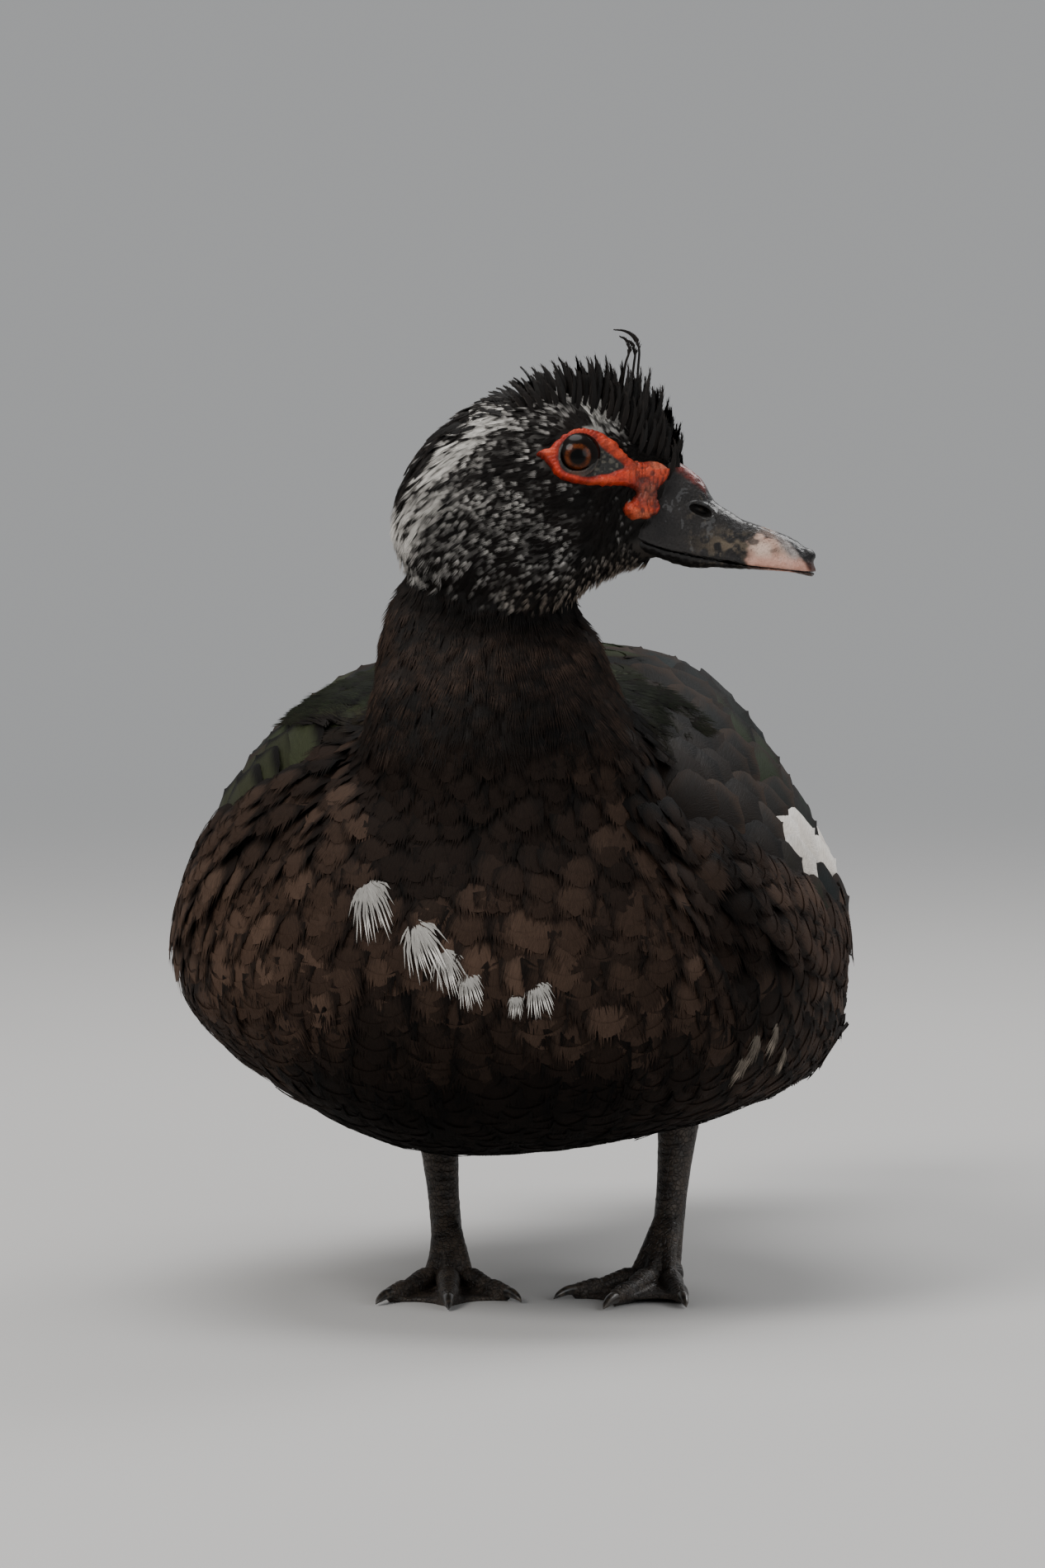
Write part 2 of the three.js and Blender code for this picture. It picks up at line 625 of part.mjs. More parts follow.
// Two thin feathers of the crest curl forward over the rest: distance ahead, aside, level
const CURLS = [
  [[18, 1, 12], [20.3, 1.5, 29], [20.4, 1.8, 35], [18.8, 2.2, 39], [15.5, 2.6, 41.4]],
  [[13, -1, 14], [14.8, -2, 31], [15.6, -2.3, 37], [14, -2.6, 40.4], [10.8, -3, 42]],
];
const CURL_RADII = [0.9, 0.8, 0.6, 0.35];

function crest() {
  const draw = draws(5);
  const locks = CREST.flatMap(({ ahead, count, spread, length, lean, bend }) =>
    steps(count).map((share) => {
      const aside = 1 - 2 * share;
      const turn = Math.PI / 2 + degToRad(spread) * aside + draw(-0.04, 0.04);
      const size = length * draw(0.92, 1.06) * (1 - 0.18 * Math.abs(aside));
      const outwards = LOCK_TWIST * (1 - 0.75 * Math.abs(aside)) * Math.cos(lean);
      const twist = (aside > -0.1 ? outwards : -outwards) + draw(-0.1, 0.1);
      const at = ahead + draw(-1.2, 1.2);
      const rise = lean + draw(-0.05, 0.05);
      return lock({ ahead: at, turn, length: size, width: LOCK_WIDTH, lean: rise, bend, twist });
    }),
  );
  const curls = CURLS.map((points) => rod(points.map((point) => vec(...point)), CURL_RADII, 5, 0.7, 7));
  return [...locks, ...curls];
}

const headWhole = joined([headForm(), ...caruncles(1), ...caruncles(-1), ...crest()])
  .subtract(behindBill(-GAP / 2))
  .subtract(eye(1, GAP))
  .subtract(eye(-1, GAP));

const headGroup = new THREE.Group();
headGroup.position.copy(HEAD_AT);
headGroup.rotation.z = HEAD_TURN;
headGroup.updateMatrixWorld();

// Tail: a core with a fan of feathers, each a little below the one before, and coverts over and under
// their roots

const tailCore = trunkForm().trimByPlane([0, 1, 0], TAIL_CUT_Y + GAP / 2);
const TAIL_FEATHERS = 16;
const TAIL_FEATHER = { length: 97, width: 20, thick: 0.62, step: 0.95 };
const TAIL_SPREAD = degToRad(27);
const TAIL_ROOT = { y: TAIL_CUT_Y + 7, half: 15, z: 155 };

// A feather of the tail from a root, turned aside by angle and raised by pitch.
function tailVane(root, angle, pitch, { length, width, thick }, shape = [0.55, 0.8, 1, 0.45]) {
  const along = vec(Math.sin(angle) * Math.cos(pitch), Math.cos(angle) * Math.cos(pitch), Math.sin(pitch));
  const side = vec(Math.cos(angle), -Math.sin(angle), 0);
  const out = new THREE.Vector3().crossVectors(side, along);
  const stations = [0, 0.4, 0.85, 1].map((s, i) => {
    const at = root.clone().addScaledVector(along, length * s);
    return { at, side, out, half: (width / 2) * shape[i], thick };
  });
  return vane(stations);
}

function tailFan() {
  return Array.from({ length: TAIL_FEATHERS }, (_, i) => {
    const hand = i % 2 ? -1 : 1;
    const rank = Math.floor(i / 2);
    const share = (hand * (rank + 0.5)) / (TAIL_FEATHERS / 2);
    const root = vec(TAIL_ROOT.half * share, TAIL_ROOT.y, TAIL_ROOT.z - TAIL_FEATHER.step * i);
    const length = TAIL_FEATHER.length - 1.4 * rank;
    return tailVane(root, TAIL_SPREAD * share, 0.02, { ...TAIL_FEATHER, length });
  });
}

// Coverts: rows over and under the tail's root, as { y, turns, length, width }
const COVERT_ROWS = [
  { y: TAIL_CUT_Y + 3, from: 42, to: 138, count: 4, length: 34, width: 25 },
  { y: TAIL_CUT_Y + 17, from: 60, to: 120, count: 3, length: 40, width: 23 },
  { y: TAIL_CUT_Y + 3, from: -42, to: -138, count: 4, length: 38, width: 25 },
  { y: TAIL_CUT_Y + 19, from: -60, to: -120, count: 3, length: 44, width: 23 },
];
function tailCoverts() {
  return COVERT_ROWS.flatMap(({ y, from, to, count, length, width }) =>
    steps(count).map((share, i) => {
      const turn = degToRad(lerp(from, to, share));
      const root = trunk(turn, y, -2.6);
      const out = trunk(turn, y, 1).sub(trunk(turn, y)).normalize();
      const lie = vec(out.x * 0.25, 1, 0.5 * out.z * 0.1 + (out.z > 0 ? 0.1 : 0.05)).normalize();
      const side = new THREE.Vector3().crossVectors(out, lie).normalize();
      const level = new THREE.Vector3().crossVectors(lie, side);
      const stations = [0, 0.4, 0.8, 1].map((s, k) => {
        const at = root.clone().addScaledVector(lie, length * s).addScaledVector(level, 0.9 * (i % 2));
        return { at, side, out: level, half: (width / 2) * [0.6, 1, 0.8, 0.3][k], thick: VANE };
      });
      return vane(stations);
    }),
  );
}

// Legs: her left foot stands behind her right one, and both turn a little to her right

const LEGS = {
  left: { hip: [55, 50, 92], ankle: [54, 43, 61], foot: [51.5, 27, 9], turn: -9, cut: 56 },
  right: { hip: [-31, 38, 88], ankle: [-29.5, 31, 57], foot: [-22.5, 15, 9], turn: 11.5, cut: 50 },
};
const TOES = [
  { turn: -27, length: 50, radius: 3.5 },
  { turn: 0, length: 58, radius: 3.8 },
  { turn: 30, length: 46, radius: 3.4 },
];

function thigh({ hip, ankle, cut }) {
  const rough = rod([vec(...hip), vec(...ankle), vec(ankle[0], ankle[1] - 3, cut - 6)], [22, 13, 10], 18);
  return largest(rough.subtract(trunkForm(GAP)).trimByPlane([0, 0, 1], cut + GAP / 2));
}

function shank({ ankle, foot, cut }) {
  const low = vec(foot[0], foot[1] + 1.5, foot[2]);
  const top = vec(...ankle).add(vec(0, 3, 6));
  const middle = low.clone().lerp(vec(...ankle), 0.5);
  const whole = rod([top, vec(...ankle), middle, low], [7.6, 7, 4.7, 4.4], 12, 1.15);
  return largest(whole.trimByPlane([0, 0, -1], GAP / 2 - cut).trimByPlane([0, 0, 1], SHANK_CUT_Z + GAP / 2));
}

// A foot: three toes with webs between them, a short hind toe, and flat soles on the ground.
function foot({ foot: at, turn }, hand) {
  const knuckle = vec(...at);
  const aim = (angle, reach, level) => {
    const a = degToRad(turn + hand * angle);
    return vec(at[0] + reach * Math.sin(a), at[1] - reach * Math.cos(a), level);
  };
  const toes = TOES.map(({ turn: spread, length, radius }) => {
    const level = (t) => lerp(7.5, radius * 0.82, Math.min(1, t * 1.5));
    const line = [0, 0.35, 0.7, 0.9].map((t) => aim(-spread, length * t, level(t)));
    return rod(line, [radius * 1.2, radius, radius * 0.92, radius * 0.6], 6, 1, 4);
  });
  const claws = TOES.map(({ turn: spread, length, radius }) => {
    const line = [0.8, 0.95, 1.06].map((t, i) => aim(-spread, length * t, [2.6, 2.8, 1][i]));
    return rod(line, [radius * 0.55, radius * 0.4, 0.5], 5, 1, 3);
  });
  const webs = [0, 1].map((i) => {
    const [a, b] = [TOES[i], TOES[i + 1]];
    const stations = [0.12, 0.45, 0.88].map((t) => {
      const level = lerp(5.4, 1.7, Math.min(1, t * 1.4));
      const [p, q] = [aim(-a.turn, a.length * t, level), aim(-b.turn, b.length * t, level)];
      const side = q.clone().sub(p).normalize();
      const middle = p.clone().add(q).multiplyScalar(0.5);
      const pull = knuckle.clone().sub(middle).setZ(0).setLength(9 * t * t);
      return { at: middle, side, out: vec(0, 0, 1), half: p.distanceTo(q) / 2, thick: 1.3, pull };
    });
    return vane(stations, true);
  });
  const pad = ball(vec(at[0], at[1] - 1.4, 5.2), 6.3, 7.2, 6.4, 10, 6);
  const stumpLine = [vec(at[0], at[1] + 1.5, SHANK_CUT_Z + 6), vec(at[0], at[1] + 1, 10), knuckle];
  const stump = rod(stumpLine, [4.6, 4.9, 5.4], 9, 1, 3);
  const hind = rod([aim(12, -2, 9), aim(12, -10, 5.5), aim(12, -15, 3.2)], [3.2, 2.6, 1.8], 6, 1, 3);
  const hindClaw = rod([aim(12, -13, 4), aim(12, -18, 2.8), aim(12, -20.5, 0.4)], [1.6, 1.3, 0.6], 5, 1, 3);
  const whole = joined([...toes, ...claws, ...webs, pad, stump, hind, hindClaw]);
  const level = whole.trimByPlane([0, 0, 1], 0).trimByPlane([0, 0, -1], GAP / 2 - SHANK_CUT_Z);
  return largest(level);
}

// The nodes

const wing = (flankAt) => joined([wingSlab(flankAt, -WING_DEPTH, WING_OUTER), ...wingFeathers(flankAt)]);
const headInPlace = carried(headForm(GAP).add(billForm), headGroup.matrixWorld);
const torso = largest(below.trimByPlane([0, -1, 0], GAP / 2 - TAIL_CUT_Y));

const colours = {
  feathers: 0x1d1714,
  speckled: 0x3a3532,
  wing: 0x27302c,
  bill: 0x2b2b2d,
  eye: 0x5b2d10,
  skin: 0x2a211c,
};

const duck = new THREE.Group();
duck.add(
  meshOf("torso", torso, colours.feathers),
  meshOf("neck", largest(above.subtract(headInPlace)), colours.feathers),
  meshOf("wing_left", wing(FLANK_LEFT), colours.wing, 0.5),
  meshOf("wing_right", mirrored(wing(FLANK_RIGHT)), colours.wing, 0.5),
  meshOf("tail", joined([tailCore, ...tailFan(), ...tailCoverts()]), colours.wing, 0.5),
);
for (const [side, leg] of Object.entries(LEGS)) {
  const hand = side === "left" ? 1 : -1;
  duck.add(
    meshOf(`thigh_${side}`, thigh(leg), colours.feathers),
    meshOf(`shank_${side}`, shank(leg), colours.skin, 0.55),
    meshOf(`foot_${side}`, foot(leg, hand), colours.skin, 0.55),
  );
}
headGroup.add(
  meshOf("head", largest(headWhole), colours.speckled),
  meshOf("bill_upper", billUpper, colours.bill, 0.35),
  meshOf("bill_lower", billLower, colours.bill, 0.35),
  meshOf("eye_left", eye(1), colours.eye, 0.1),
  meshOf("eye_right", eye(-1), colours.eye, 0.1),
);
duck.add(headGroup);

// The origin is under the middle of the whole bird, on the ground
duck.updateMatrixWorld(true);
const reach = new THREE.Box3().setFromObject(duck);
const middle = reach.getCenter(new THREE.Vector3());
duck.position.set(-middle.x, -middle.y, -reach.min.z);

export default duck;
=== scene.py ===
import itertools
import math

import bmesh
import bpy
import numpy as np
from mathutils import Matrix, Vector
from mathutils.bvhtree import BVHTree


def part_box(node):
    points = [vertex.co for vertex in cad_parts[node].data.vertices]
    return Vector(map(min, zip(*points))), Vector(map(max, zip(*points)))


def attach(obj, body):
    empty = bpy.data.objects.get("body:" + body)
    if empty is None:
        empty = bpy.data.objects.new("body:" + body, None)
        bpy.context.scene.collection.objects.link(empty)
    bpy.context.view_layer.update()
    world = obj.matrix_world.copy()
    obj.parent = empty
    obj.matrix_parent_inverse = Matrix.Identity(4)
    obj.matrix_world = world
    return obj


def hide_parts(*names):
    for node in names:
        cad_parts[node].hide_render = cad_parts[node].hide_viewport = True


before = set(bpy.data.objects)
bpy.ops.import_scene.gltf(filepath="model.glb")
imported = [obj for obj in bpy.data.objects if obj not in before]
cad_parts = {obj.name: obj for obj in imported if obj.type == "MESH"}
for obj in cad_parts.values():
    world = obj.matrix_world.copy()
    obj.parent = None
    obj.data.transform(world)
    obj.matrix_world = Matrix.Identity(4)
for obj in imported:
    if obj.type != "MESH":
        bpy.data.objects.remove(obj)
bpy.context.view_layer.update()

# A muscovy duck hen, standing with her head turned to her left. All sizes are in millimetres in the maker's
# frame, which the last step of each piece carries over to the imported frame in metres.

# Driving sizes
SIDES = {"left": 1, "right": -1}  # her sides, and the way x runs to each
BREAST_Y = -122
BODY_LENGTH = 362
HEAD_AT = np.array([37, -55.5, 292])  # the point between the eyes
HEAD_TURN = math.radians(8)
EYE_RADIUS = 8.3
EYE_ASIDE = 16.6
EYE_AXIS_TILT = math.radians(4)
BODY_COAT = 3.0  # depth of the feathers on body, neck and head
NECK_COAT = 2.6
HEAD_COAT = 1.7
NECK_COAT_LEVELS = (185, 225)  # levels between which the body's coat gives way to the neck's
BACK_FULLNESS = 2.45
NECK_ROOT = 196  # levels at which the neck and the head begin
HEAD_ROOT = 247

# How far each quarter of the trunk's outline is set to her left, as a share of the half width
LEAN = {"upper_left": -0.17, "upper_right": 0.06, "lower_left": 0.08, "lower_right": 0.1}

# Trunk sections: y, half width, back level, belly level, level of the widest line, fullness of the flanks
# below it
TRUNK = [
    [-122, 0, 116, 116, 116, 1.95],
    [-113, 45, 151, 84, 116, 1.95],
    [-97, 73, 174, 66, 115, 1.95],
    [-70, 95, 193, 56, 114, 1.95],
    [-35, 107, 209, 52, 113, 2],
    [5, 111, 218, 53, 113, 2.3],
    [45, 111, 221, 59, 114, 2.7],
    [90, 102, 217, 70, 119, 2.6],
    [130, 84, 205, 84, 127, 2.4],
    [165, 62, 188, 100, 134, 2.1],
    [200, 41, 169, 117, 142, 2],
    [240, 27, 155, 131, 144, 2],
]

# Lower edge of the head's feathers, which overhangs the neck: distance ahead of the eye, level
RUFF = [
    [-62, -33], [-54, -40], [-46.8, -44], [-30, -49], [-17, -51.5],
    [-3.5, -50.5], [4, -46], [12, -41], [22, -38.5], [30, -37],
]

# Edge of the breast where it stands before the flank, on each side: level, distance to the side
BREAST_EDGE = {
    1: [[108, 97], [132, 85], [160, 73], [188, 66], [216, 50]],
    -1: [[150, 66], [173, 50], [200, 38], [216, 31]],
}

# Neck sections: x, y, z of the middle, half width, half depth
NECK = [
    [8, -50, 142, 60, 54],
    [10, -54, 164, 60, 52],
    [11, -57, 180, 54, 47],
    [10, -60, 195, 48, 41],
    [8, -61, 210, 43.5, 36],
    [6, -61, 224, 39.5, 30],
    [3, -60, 238, 34, 23],
    [1, -58, 252, 26, 15],
]

# Head sections, under the crest: distance ahead of the eye, half width, crown, throat, level of the widest
# line
HEAD = [
    [-63, 7, -19, -32, -25],
    [-60, 13, -11, -39, -24],
    [-55, 17.5, -1, -45, -23],
    [-47, 21.5, 9, -50.5, -21],
    [-36, 24.5, 17, -55, -20],
    [-22, 26.5, 21, -57.5, -19],
    [-11, 26.5, 21.5, -56, -18],
    [-4, 26, 21.5, -52, -17.5],
    [0, 25.5, 21, -48.5, -17.5],
    [7, 22.5, 19, -43, -17],
    [16, 17.5, 14.5, -39, -17],
    [22, 14.2, 10.5, -37.5, -17.5],
    [28, 12.4, 5, -36, -18.5],
    [33, 9.5, -1, -34, -19.5],
]

# Bill sections: distance ahead of the eye, half width, culmen level, lower edge, level of the widest line
BILL = [
    [10, 11, -8, -30, -24],
    [20, 12.4, -4, -32.5, -27],
    [28, 12.2, 0, -35.2, -29],
    [34, 11.6, -3.1, -37, -31],
    [38, 11.2, -6, -37.8, -32],
    [42, 10.8, -10, -38.1, -33],
    [44, 10.6, -13.6, -38.1, -33.2],
    [50, 10.3, -19, -38.2, -34],
    [57, 10.3, -22.5, -38.4, -35],
    [64, 10.2, -25.1, -38.8, -36],
    [70, 9, -27.4, -39.3, -37],
    [75, 6.8, -30.6, -40.2, -38],
    [78, 4.4, -34.4, -41, -38.8],
]
BILL_TIP = [79.6, 0, -39.4]

# Edge of the feathers round the base of the bill, as level and distance ahead, from the chin up
BILL_EDGE = [
    [-60, 27], [-37, 27], [-34, 24], [-30.5, 19.5], [-26.7, 18], [-24, 22],
    [-19.9, 27.5], [-11.7, 27.6], [-7.5, 29.5], [-3.8, 31.6], [-1, 34], [20, 34.5],
]

# The gape in profile: distance ahead of the eye, level
GAPE = [
    [10, -25], [19.7, -27.4], [23, -29.4], [30, -31.6], [39, -33.5],
    [46, -34.8], [53, -36.1], [58, -36.9], [73, -38.6], [90, -40.6],
]

# The lip along the gape: distance ahead of the eye, distance aside, level
LIP = [[22, 11.7, -27.6], [40, 10.7, -32.8], [56, 9.9, -35.6], [70, 8, -37.4]]

# The nostrils: place on her left side, size along and into the bill, tilt
NOSTRIL_AT = (41.2, 8.6, -18.6)
NOSTRIL_SIZE = (4.0, 4.6)
NOSTRIL_TILT = 0.4

# The folded wing's patch of the flank: y, lower edge and upper edge as turns in degrees
WING = [
    [-64, 24, 50],
    [-52, 17, 62],
    [-20, 8, 74],
    [30, 5, 79],
    [80, 12, 77],
    [120, 22, 70],
    [156, 36, 60],
]

# Lowest turn, in degrees, at which the folded wing shows above the brown feathers of the flank, by y
BROWN_EDGE = [[-70, 62], [-63, 50], [-58, 41], [-41, 30], [-30, 21], [-4, 13], [36, 9], [60, 9], [150, 20]]
WING_THICKNESS = 4.2

# Edge of the bare skin of the face in profile: distance ahead of the eye, level
BARE = [
    [-14.3, 1.2], [-11.2, 2.9], [-9, 3.2], [-7.2, 5.8], [-3.6, 8], [-0.1, 9.4], [3.4, 9.7],
    [7.1, 8.4], [11, 6], [13.8, 3.9], [15.2, 1.6], [17.7, -0.5], [19.9, -1.7], [23.8, -1.5],
    [26.6, -1.7], [28.8, -3], [31.4, -4.6], [30.6, -7], [29.4, -9.1], [27.4, -10.5], [26.9, -13],
    [27.9, -16.3], [27.6, -19.3], [24.9, -20.9], [22.1, -21.3], [18.8, -21.9], [16.9, -20.2],
    [15.4, -18], [16.2, -15.8], [19, -14.2], [20.5, -12.4], [19.2, -10.6], [15.5, -9.8],
    [13.4, -9.6], [11.9, -9.7], [8.8, -9.8], [4.9, -9.4], [0.5, -8.7], [-4.2, -7.8],
    [-7.2, -5.7], [-8.9, -3.5], [-10.5, -1], [-12.3, 0.2],
]
FACE_SPAN = [[-16, 33], [-23.5, 11]]
FACE_STEPS = [196, 138]
FACE_RAGGED = 0.16  # how uneven the border of the bare skin is
FACE_THICKNESS = 1.4

# Edge of the dark skin round the eye, inside the red
DARK_SKIN = [
    [-6.1, -0.2], [-5.6, 3.4], [-3.1, 5.7], [0.5, 6.6], [3.2, 6.3], [6, 4.9],
    [8.4, 2.2], [11.6, -0.1], [14.1, -2], [16, -4], [12.7, -4.9], [10.5, -6.1],
    [7.7, -6], [5.4, -6.7], [2.1, -6.8], [-1.8, -6.1], [-4.3, -4.9], [-5.6, -3],
]

# Swellings of the bare skin: distance ahead, level, half length, half height, rise
SWELLINGS = [
    [10.6, 3.6, 3.6, 2.2, 0.55],
    [14.5, 0.4, 2.8, 2.2, 0.4],
    [9.2, -8.3, 3.4, 0.85, 0.7],
    [5.2, -9.3, 4.0, 0.8, 0.5],
    [18.4, -18.4, 2.6, 2.2, 1.1],
    [22.6, -18.6, 2.4, 2.0, 0.6],
    [28, -6.4, 2.2, 2.4, 0.8],
    [23.2, -5.2, 2.6, 2.2, 0.4],
    [18.6, -5.4, 2.6, 2.2, 0.35],
    [24.2, -13.5, 1.6, 3.2, 0.35],
    [-9.4, 1.2, 2.2, 1.4, 0.4],
    [-1.5, 8.2, 3.4, 0.9, 0.35],
]

# Rims of the lids: radius, width, rise
LID_RIMS = [[5.62, 0.34, 0.42], [6.85, 0.4, 0.3], [8.0, 0.35, 0.16]]
EYE_OPENING = [5.25, 5.05]

# The white streak from the brow down the nape: distance ahead of the eye, level
HEAD_STREAK = [[-64, -26], [-56, -16], [-48.6, -7], [-40.3, 1.8], [-31, 9.2], [-22.7, 13.9], [-16, 15.5]]

# Legs: her left foot stands behind her right one
LEGS = {
    "left": {"hip": [55, 50, 92], "ankle": [54, 43, 61], "foot": [51.5, 27, 9], "turn": -9},
    "right": {"hip": [-31, 38, 88], "ankle": [-29.5, 31, 57], "foot": [-22.5, 15, 9], "turn": 11.5},
}
TOES = [
    {"turn": -27, "length": 50, "radius": 3.5},
    {"turn": 0, "length": 58, "radius": 3.8},
    {"turn": 30, "length": 46, "radius": 3.4},
]
WEB_THICKNESS = 1.7

# White feathers low on the breast: where they start in the photograph, length, half width, turn
WHITE_FANS = [
    [446, 1070, 25, 10, 0.4],
    [503, 1118, 25, 9, 0.42],
    [537, 1152, 18, 7, 0.35],
    [565, 1178, 14, 6, 0.25],
    [648, 1188, 14, 6.5, 0.15],
    [624, 1204, 9, 3.5, 0],
]

# Pale frayed feathers low on her left flank, in the same way
PALE_TUFTS = [
    [915, 1252, 15, 5.5, -0.5],
    [938, 1240, 14, 5.0, -0.7],
    [900, 1275, 13, 5.0, -0.4],
    [949, 1266, 12, 4.5, -0.6],
]

# The crest, from a root on the crown to its tip: the root's distance ahead, the tip's, and the tip's level
CREST_TIPS = [
    [-54, -63, -16], [-48, -58, -3.5], [-40, -50.5, 7.6], [-30, -40, 16.8], [-20, -27.5, 25.6],
    [-11, -16, 31.6], [-3, -5, 33.4], [5, 7, 34], [12, 17, 32.8], [18, 24.2, 29.6],
    [23, 28.6, 24.5], [27, 31.2, 17.5], [30, 33.2, 10], [33, 34.4, 3],
]

# How far down the side of the head the crest has its roots: distance ahead of the eye, depth below the crown
CREST_DEPTHS = [[-54, 9], [-30, 8], [-10, 7], [-2, 6.5], [6, 7], [13, 8], [18, 11], [22, 17], [33, 12]]

# Curled feathers over the crest, each as its points in the head's own frame
CURLS = [
    [[19, 1, 20], [19.6, 1.5, 29], [19.9, 1.8, 35], [18.5, 2.2, 38.9], [15.3, 2.4, 41.2], [11.2, 2.6, 41.7]],
    [[14, -1, 20], [15.4, -2, 30], [16.7, -2.3, 34.5], [15.8, -2.6, 38.2], [13.5, -3, 39.6]],
    [[17, 0.4, 20], [18.2, 0, 30], [18.6, -0.2, 34], [17.4, -0.4, 37.2], [15.2, -0.6, 38.4]],
]

# Rows of wing feathers from front to back: y of the roots, lowest and highest as turns in degrees, how many,
# length, width, slant towards the spine, and how far the tips stand off the flank
WING_ROWS = [
    [-60, 40, 49, 2, 26, 19, 0, 1.6],
    [-51, 32, 56, 4, 29, 20, 0, 1.9],
    [-40, 25, 64, 6, 32, 21, 0, 2.1],
    [-27, 16, 68, 8, 35, 21, 0, 2.4],
    [-13, 10, 72, 9, 39, 22, 0, 2.7],
    [2, 9, 74, 9, 44, 22, 0, 2.9],
    [18, 9, 74, 9, 50, 23, 0, 3.2],
    [36, 11, 73, 8, 60, 25, 0.02, 3.5],
    [54, 15, 70, 7, 70, 26, 0.04, 3.9],
    [74, 24, 65, 6, 80, 23, 0.07, 4.6],
    [91, 30, 58, 5, 88, 18, 0.14, 5.0],
    [106, 33, 50, 4, 97, 14, 0.27, 5.2],
]
FLANK_RADIUS = 92
WING_ROOT_LIFT = -3.6
FLIGHT_TIER = 8  # rows behind this one are firm flight feathers

# Looks of each wing: how high its white patch reaches in degrees, bronze of its front, and a painted light
# factor:
# her right wing is painted brighter and her left darker, as lit and shaded copies of one colour
WING_LOOKS = {1: [28, 0.85, 0.75], -1: [25, 0.3, 1.35]}

# Tail: y at which its root is cut, number of feathers, spread to each side
TAIL_CUT_Y = 200
TAIL_FEATHERS = 18
TAIL_SPREAD = math.radians(27)

# Rows of coverts over and under the tail's root: y from the cut, first and last as turns in degrees, how
# many, length, width
TAIL_COVERTS = [
    [-14, 24, 156, 9, 30, 19],
    [0, 30, 150, 9, 32, 19],
    [10, 38, 142, 8, 34, 19],
    [19, 50, 130, 7, 38, 18],
    [28, 60, 120, 5, 40, 18],
    [-12, -24, -156, 9, 34, 19],
    [0, -30, -150, 9, 36, 19],
    [9, -38, -142, 8, 40, 19],
    [20, -50, -130, 7, 42, 18],
    [29, -60, -120, 5, 42, 18],
]

# Coats of the body: seed, how many roots are tried, length of the feathers high and low on the body, their
# half width as a share of it, and how far their tips stand off as a share of the coat's depth
BODY_COATS = {
    "breast_feathers_left": [61, 30000, 18, 26, 0.4, 0.5],
    "breast_feathers_right": [63, 30000, 18, 26, 0.4, 0.5],
    "body_feathers_rear": [65, 34000, 29, 29, 0.4, 0.5],
    "neck_feathers": [67, 40000, 11.5, 11.5, 0.27, 1.0],
}

# Colours of the plumage
INK = (0.0045, 0.0038, 0.0034)
DARK_BROWN = (0.0125, 0.0083, 0.0064)
BROWN = (0.055, 0.033, 0.023)
PALE_BROWN = (0.1, 0.063, 0.045)
WHITE = (0.74, 0.71, 0.66)
GREY_WHITE = (0.27, 0.255, 0.24)
THROAT = (0.12, 0.095, 0.075)
TEAL = (0.007, 0.0125, 0.013)
GREEN = (0.026, 0.036, 0.017)
BRONZE = (0.014, 0.009, 0.0065)
TUFT_GREY = (0.3, 0.25, 0.2)
# painted highlights on the edges of the crest feathers and the curls
CREST_EDGE_HIGHLIGHT = (0.04, 0.033, 0.028)
CURL_EDGE_HIGHLIGHT = (0.08, 0.07, 0.06)
WING_BORDER = (0.035, 0.022, 0.015)
WING_WHITE = (0.62, 0.57, 0.51)
WING_WHITE_EDGE = (0.7, 0.66, 0.61)

# Colours of the bare skin of the face
RED_DEEP = (0.17, 0.008, 0.004)
RED = (0.46, 0.033, 0.01)
RED_BRIGHT = (0.62, 0.085, 0.022)
SALMON = (0.38, 0.115, 0.055)
RED_DULL = (0.1, 0.045, 0.028)
RED_STAIN = (0.075, 0.012, 0.008)
# painted shade in the wrinkles of the red skin
PAINTED_FOLD_SHADE = (0.03, 0.009, 0.007)
SKIN_DARK = (0.009, 0.0085, 0.007)
SKIN_DOTS = (0.07, 0.064, 0.05)
SKIN_AT_EYE = (0.01, 0.009, 0.008)
# painted highlight along the lids' raised rims
LID_RIM_HIGHLIGHT = (0.09, 0.08, 0.07)
LID_WARM = (0.14, 0.05, 0.025)
UNDER_FACE = (0.02, 0.019, 0.016)

# Colours of the bill
HORN = [(0.0065, 0.0062, 0.0066), (0.022, 0.0195, 0.0185)]
HORN_BASE = (0.02, 0.0175, 0.017)
HORN_OLIVE = (0.13, 0.1, 0.068)
HORN_MOTTLE = (0.12, 0.095, 0.068)
HORN_SPECK = (0.005, 0.0045, 0.004)
HORN_LOWER = (0.007, 0.0062, 0.006)
KNOB_RED = [(0.07, 0.014, 0.012), (0.26, 0.04, 0.03)]
SADDLE = [(0.34, 0.2, 0.15), (0.6, 0.45, 0.37)]
SADDLE_LOW = (0.58, 0.25, 0.18)
SADDLE_BLUE = [(0.05, 0.053, 0.06), (0.3, 0.29, 0.28)]
SADDLE_MURK = (0.028, 0.022, 0.019)
NAIL = [(0.006, 0.006, 0.007), (0.022, 0.02, 0.021)]
NAIL_LOW = (0.09, 0.024, 0.013)

# Colours of eye, legs, claws and floor
PUPIL = (0.0006, 0.0006, 0.0006)
IRIS = [(0.012, 0.003, 0.001), (0.105, 0.024, 0.005)]
IRIS_INNER = (0.014, 0.004, 0.0015)
IRIS_RIM = (0.004, 0.0022, 0.0015)
LEG = [(0.018, 0.0125, 0.0095), (0.062, 0.045, 0.033)]
CLAW = [(0.012, 0.01, 0.009), (0.075, 0.058, 0.042)]
FLOOR = [(0.5, 0.49, 0.48), (0.53, 0.52, 0.51)]

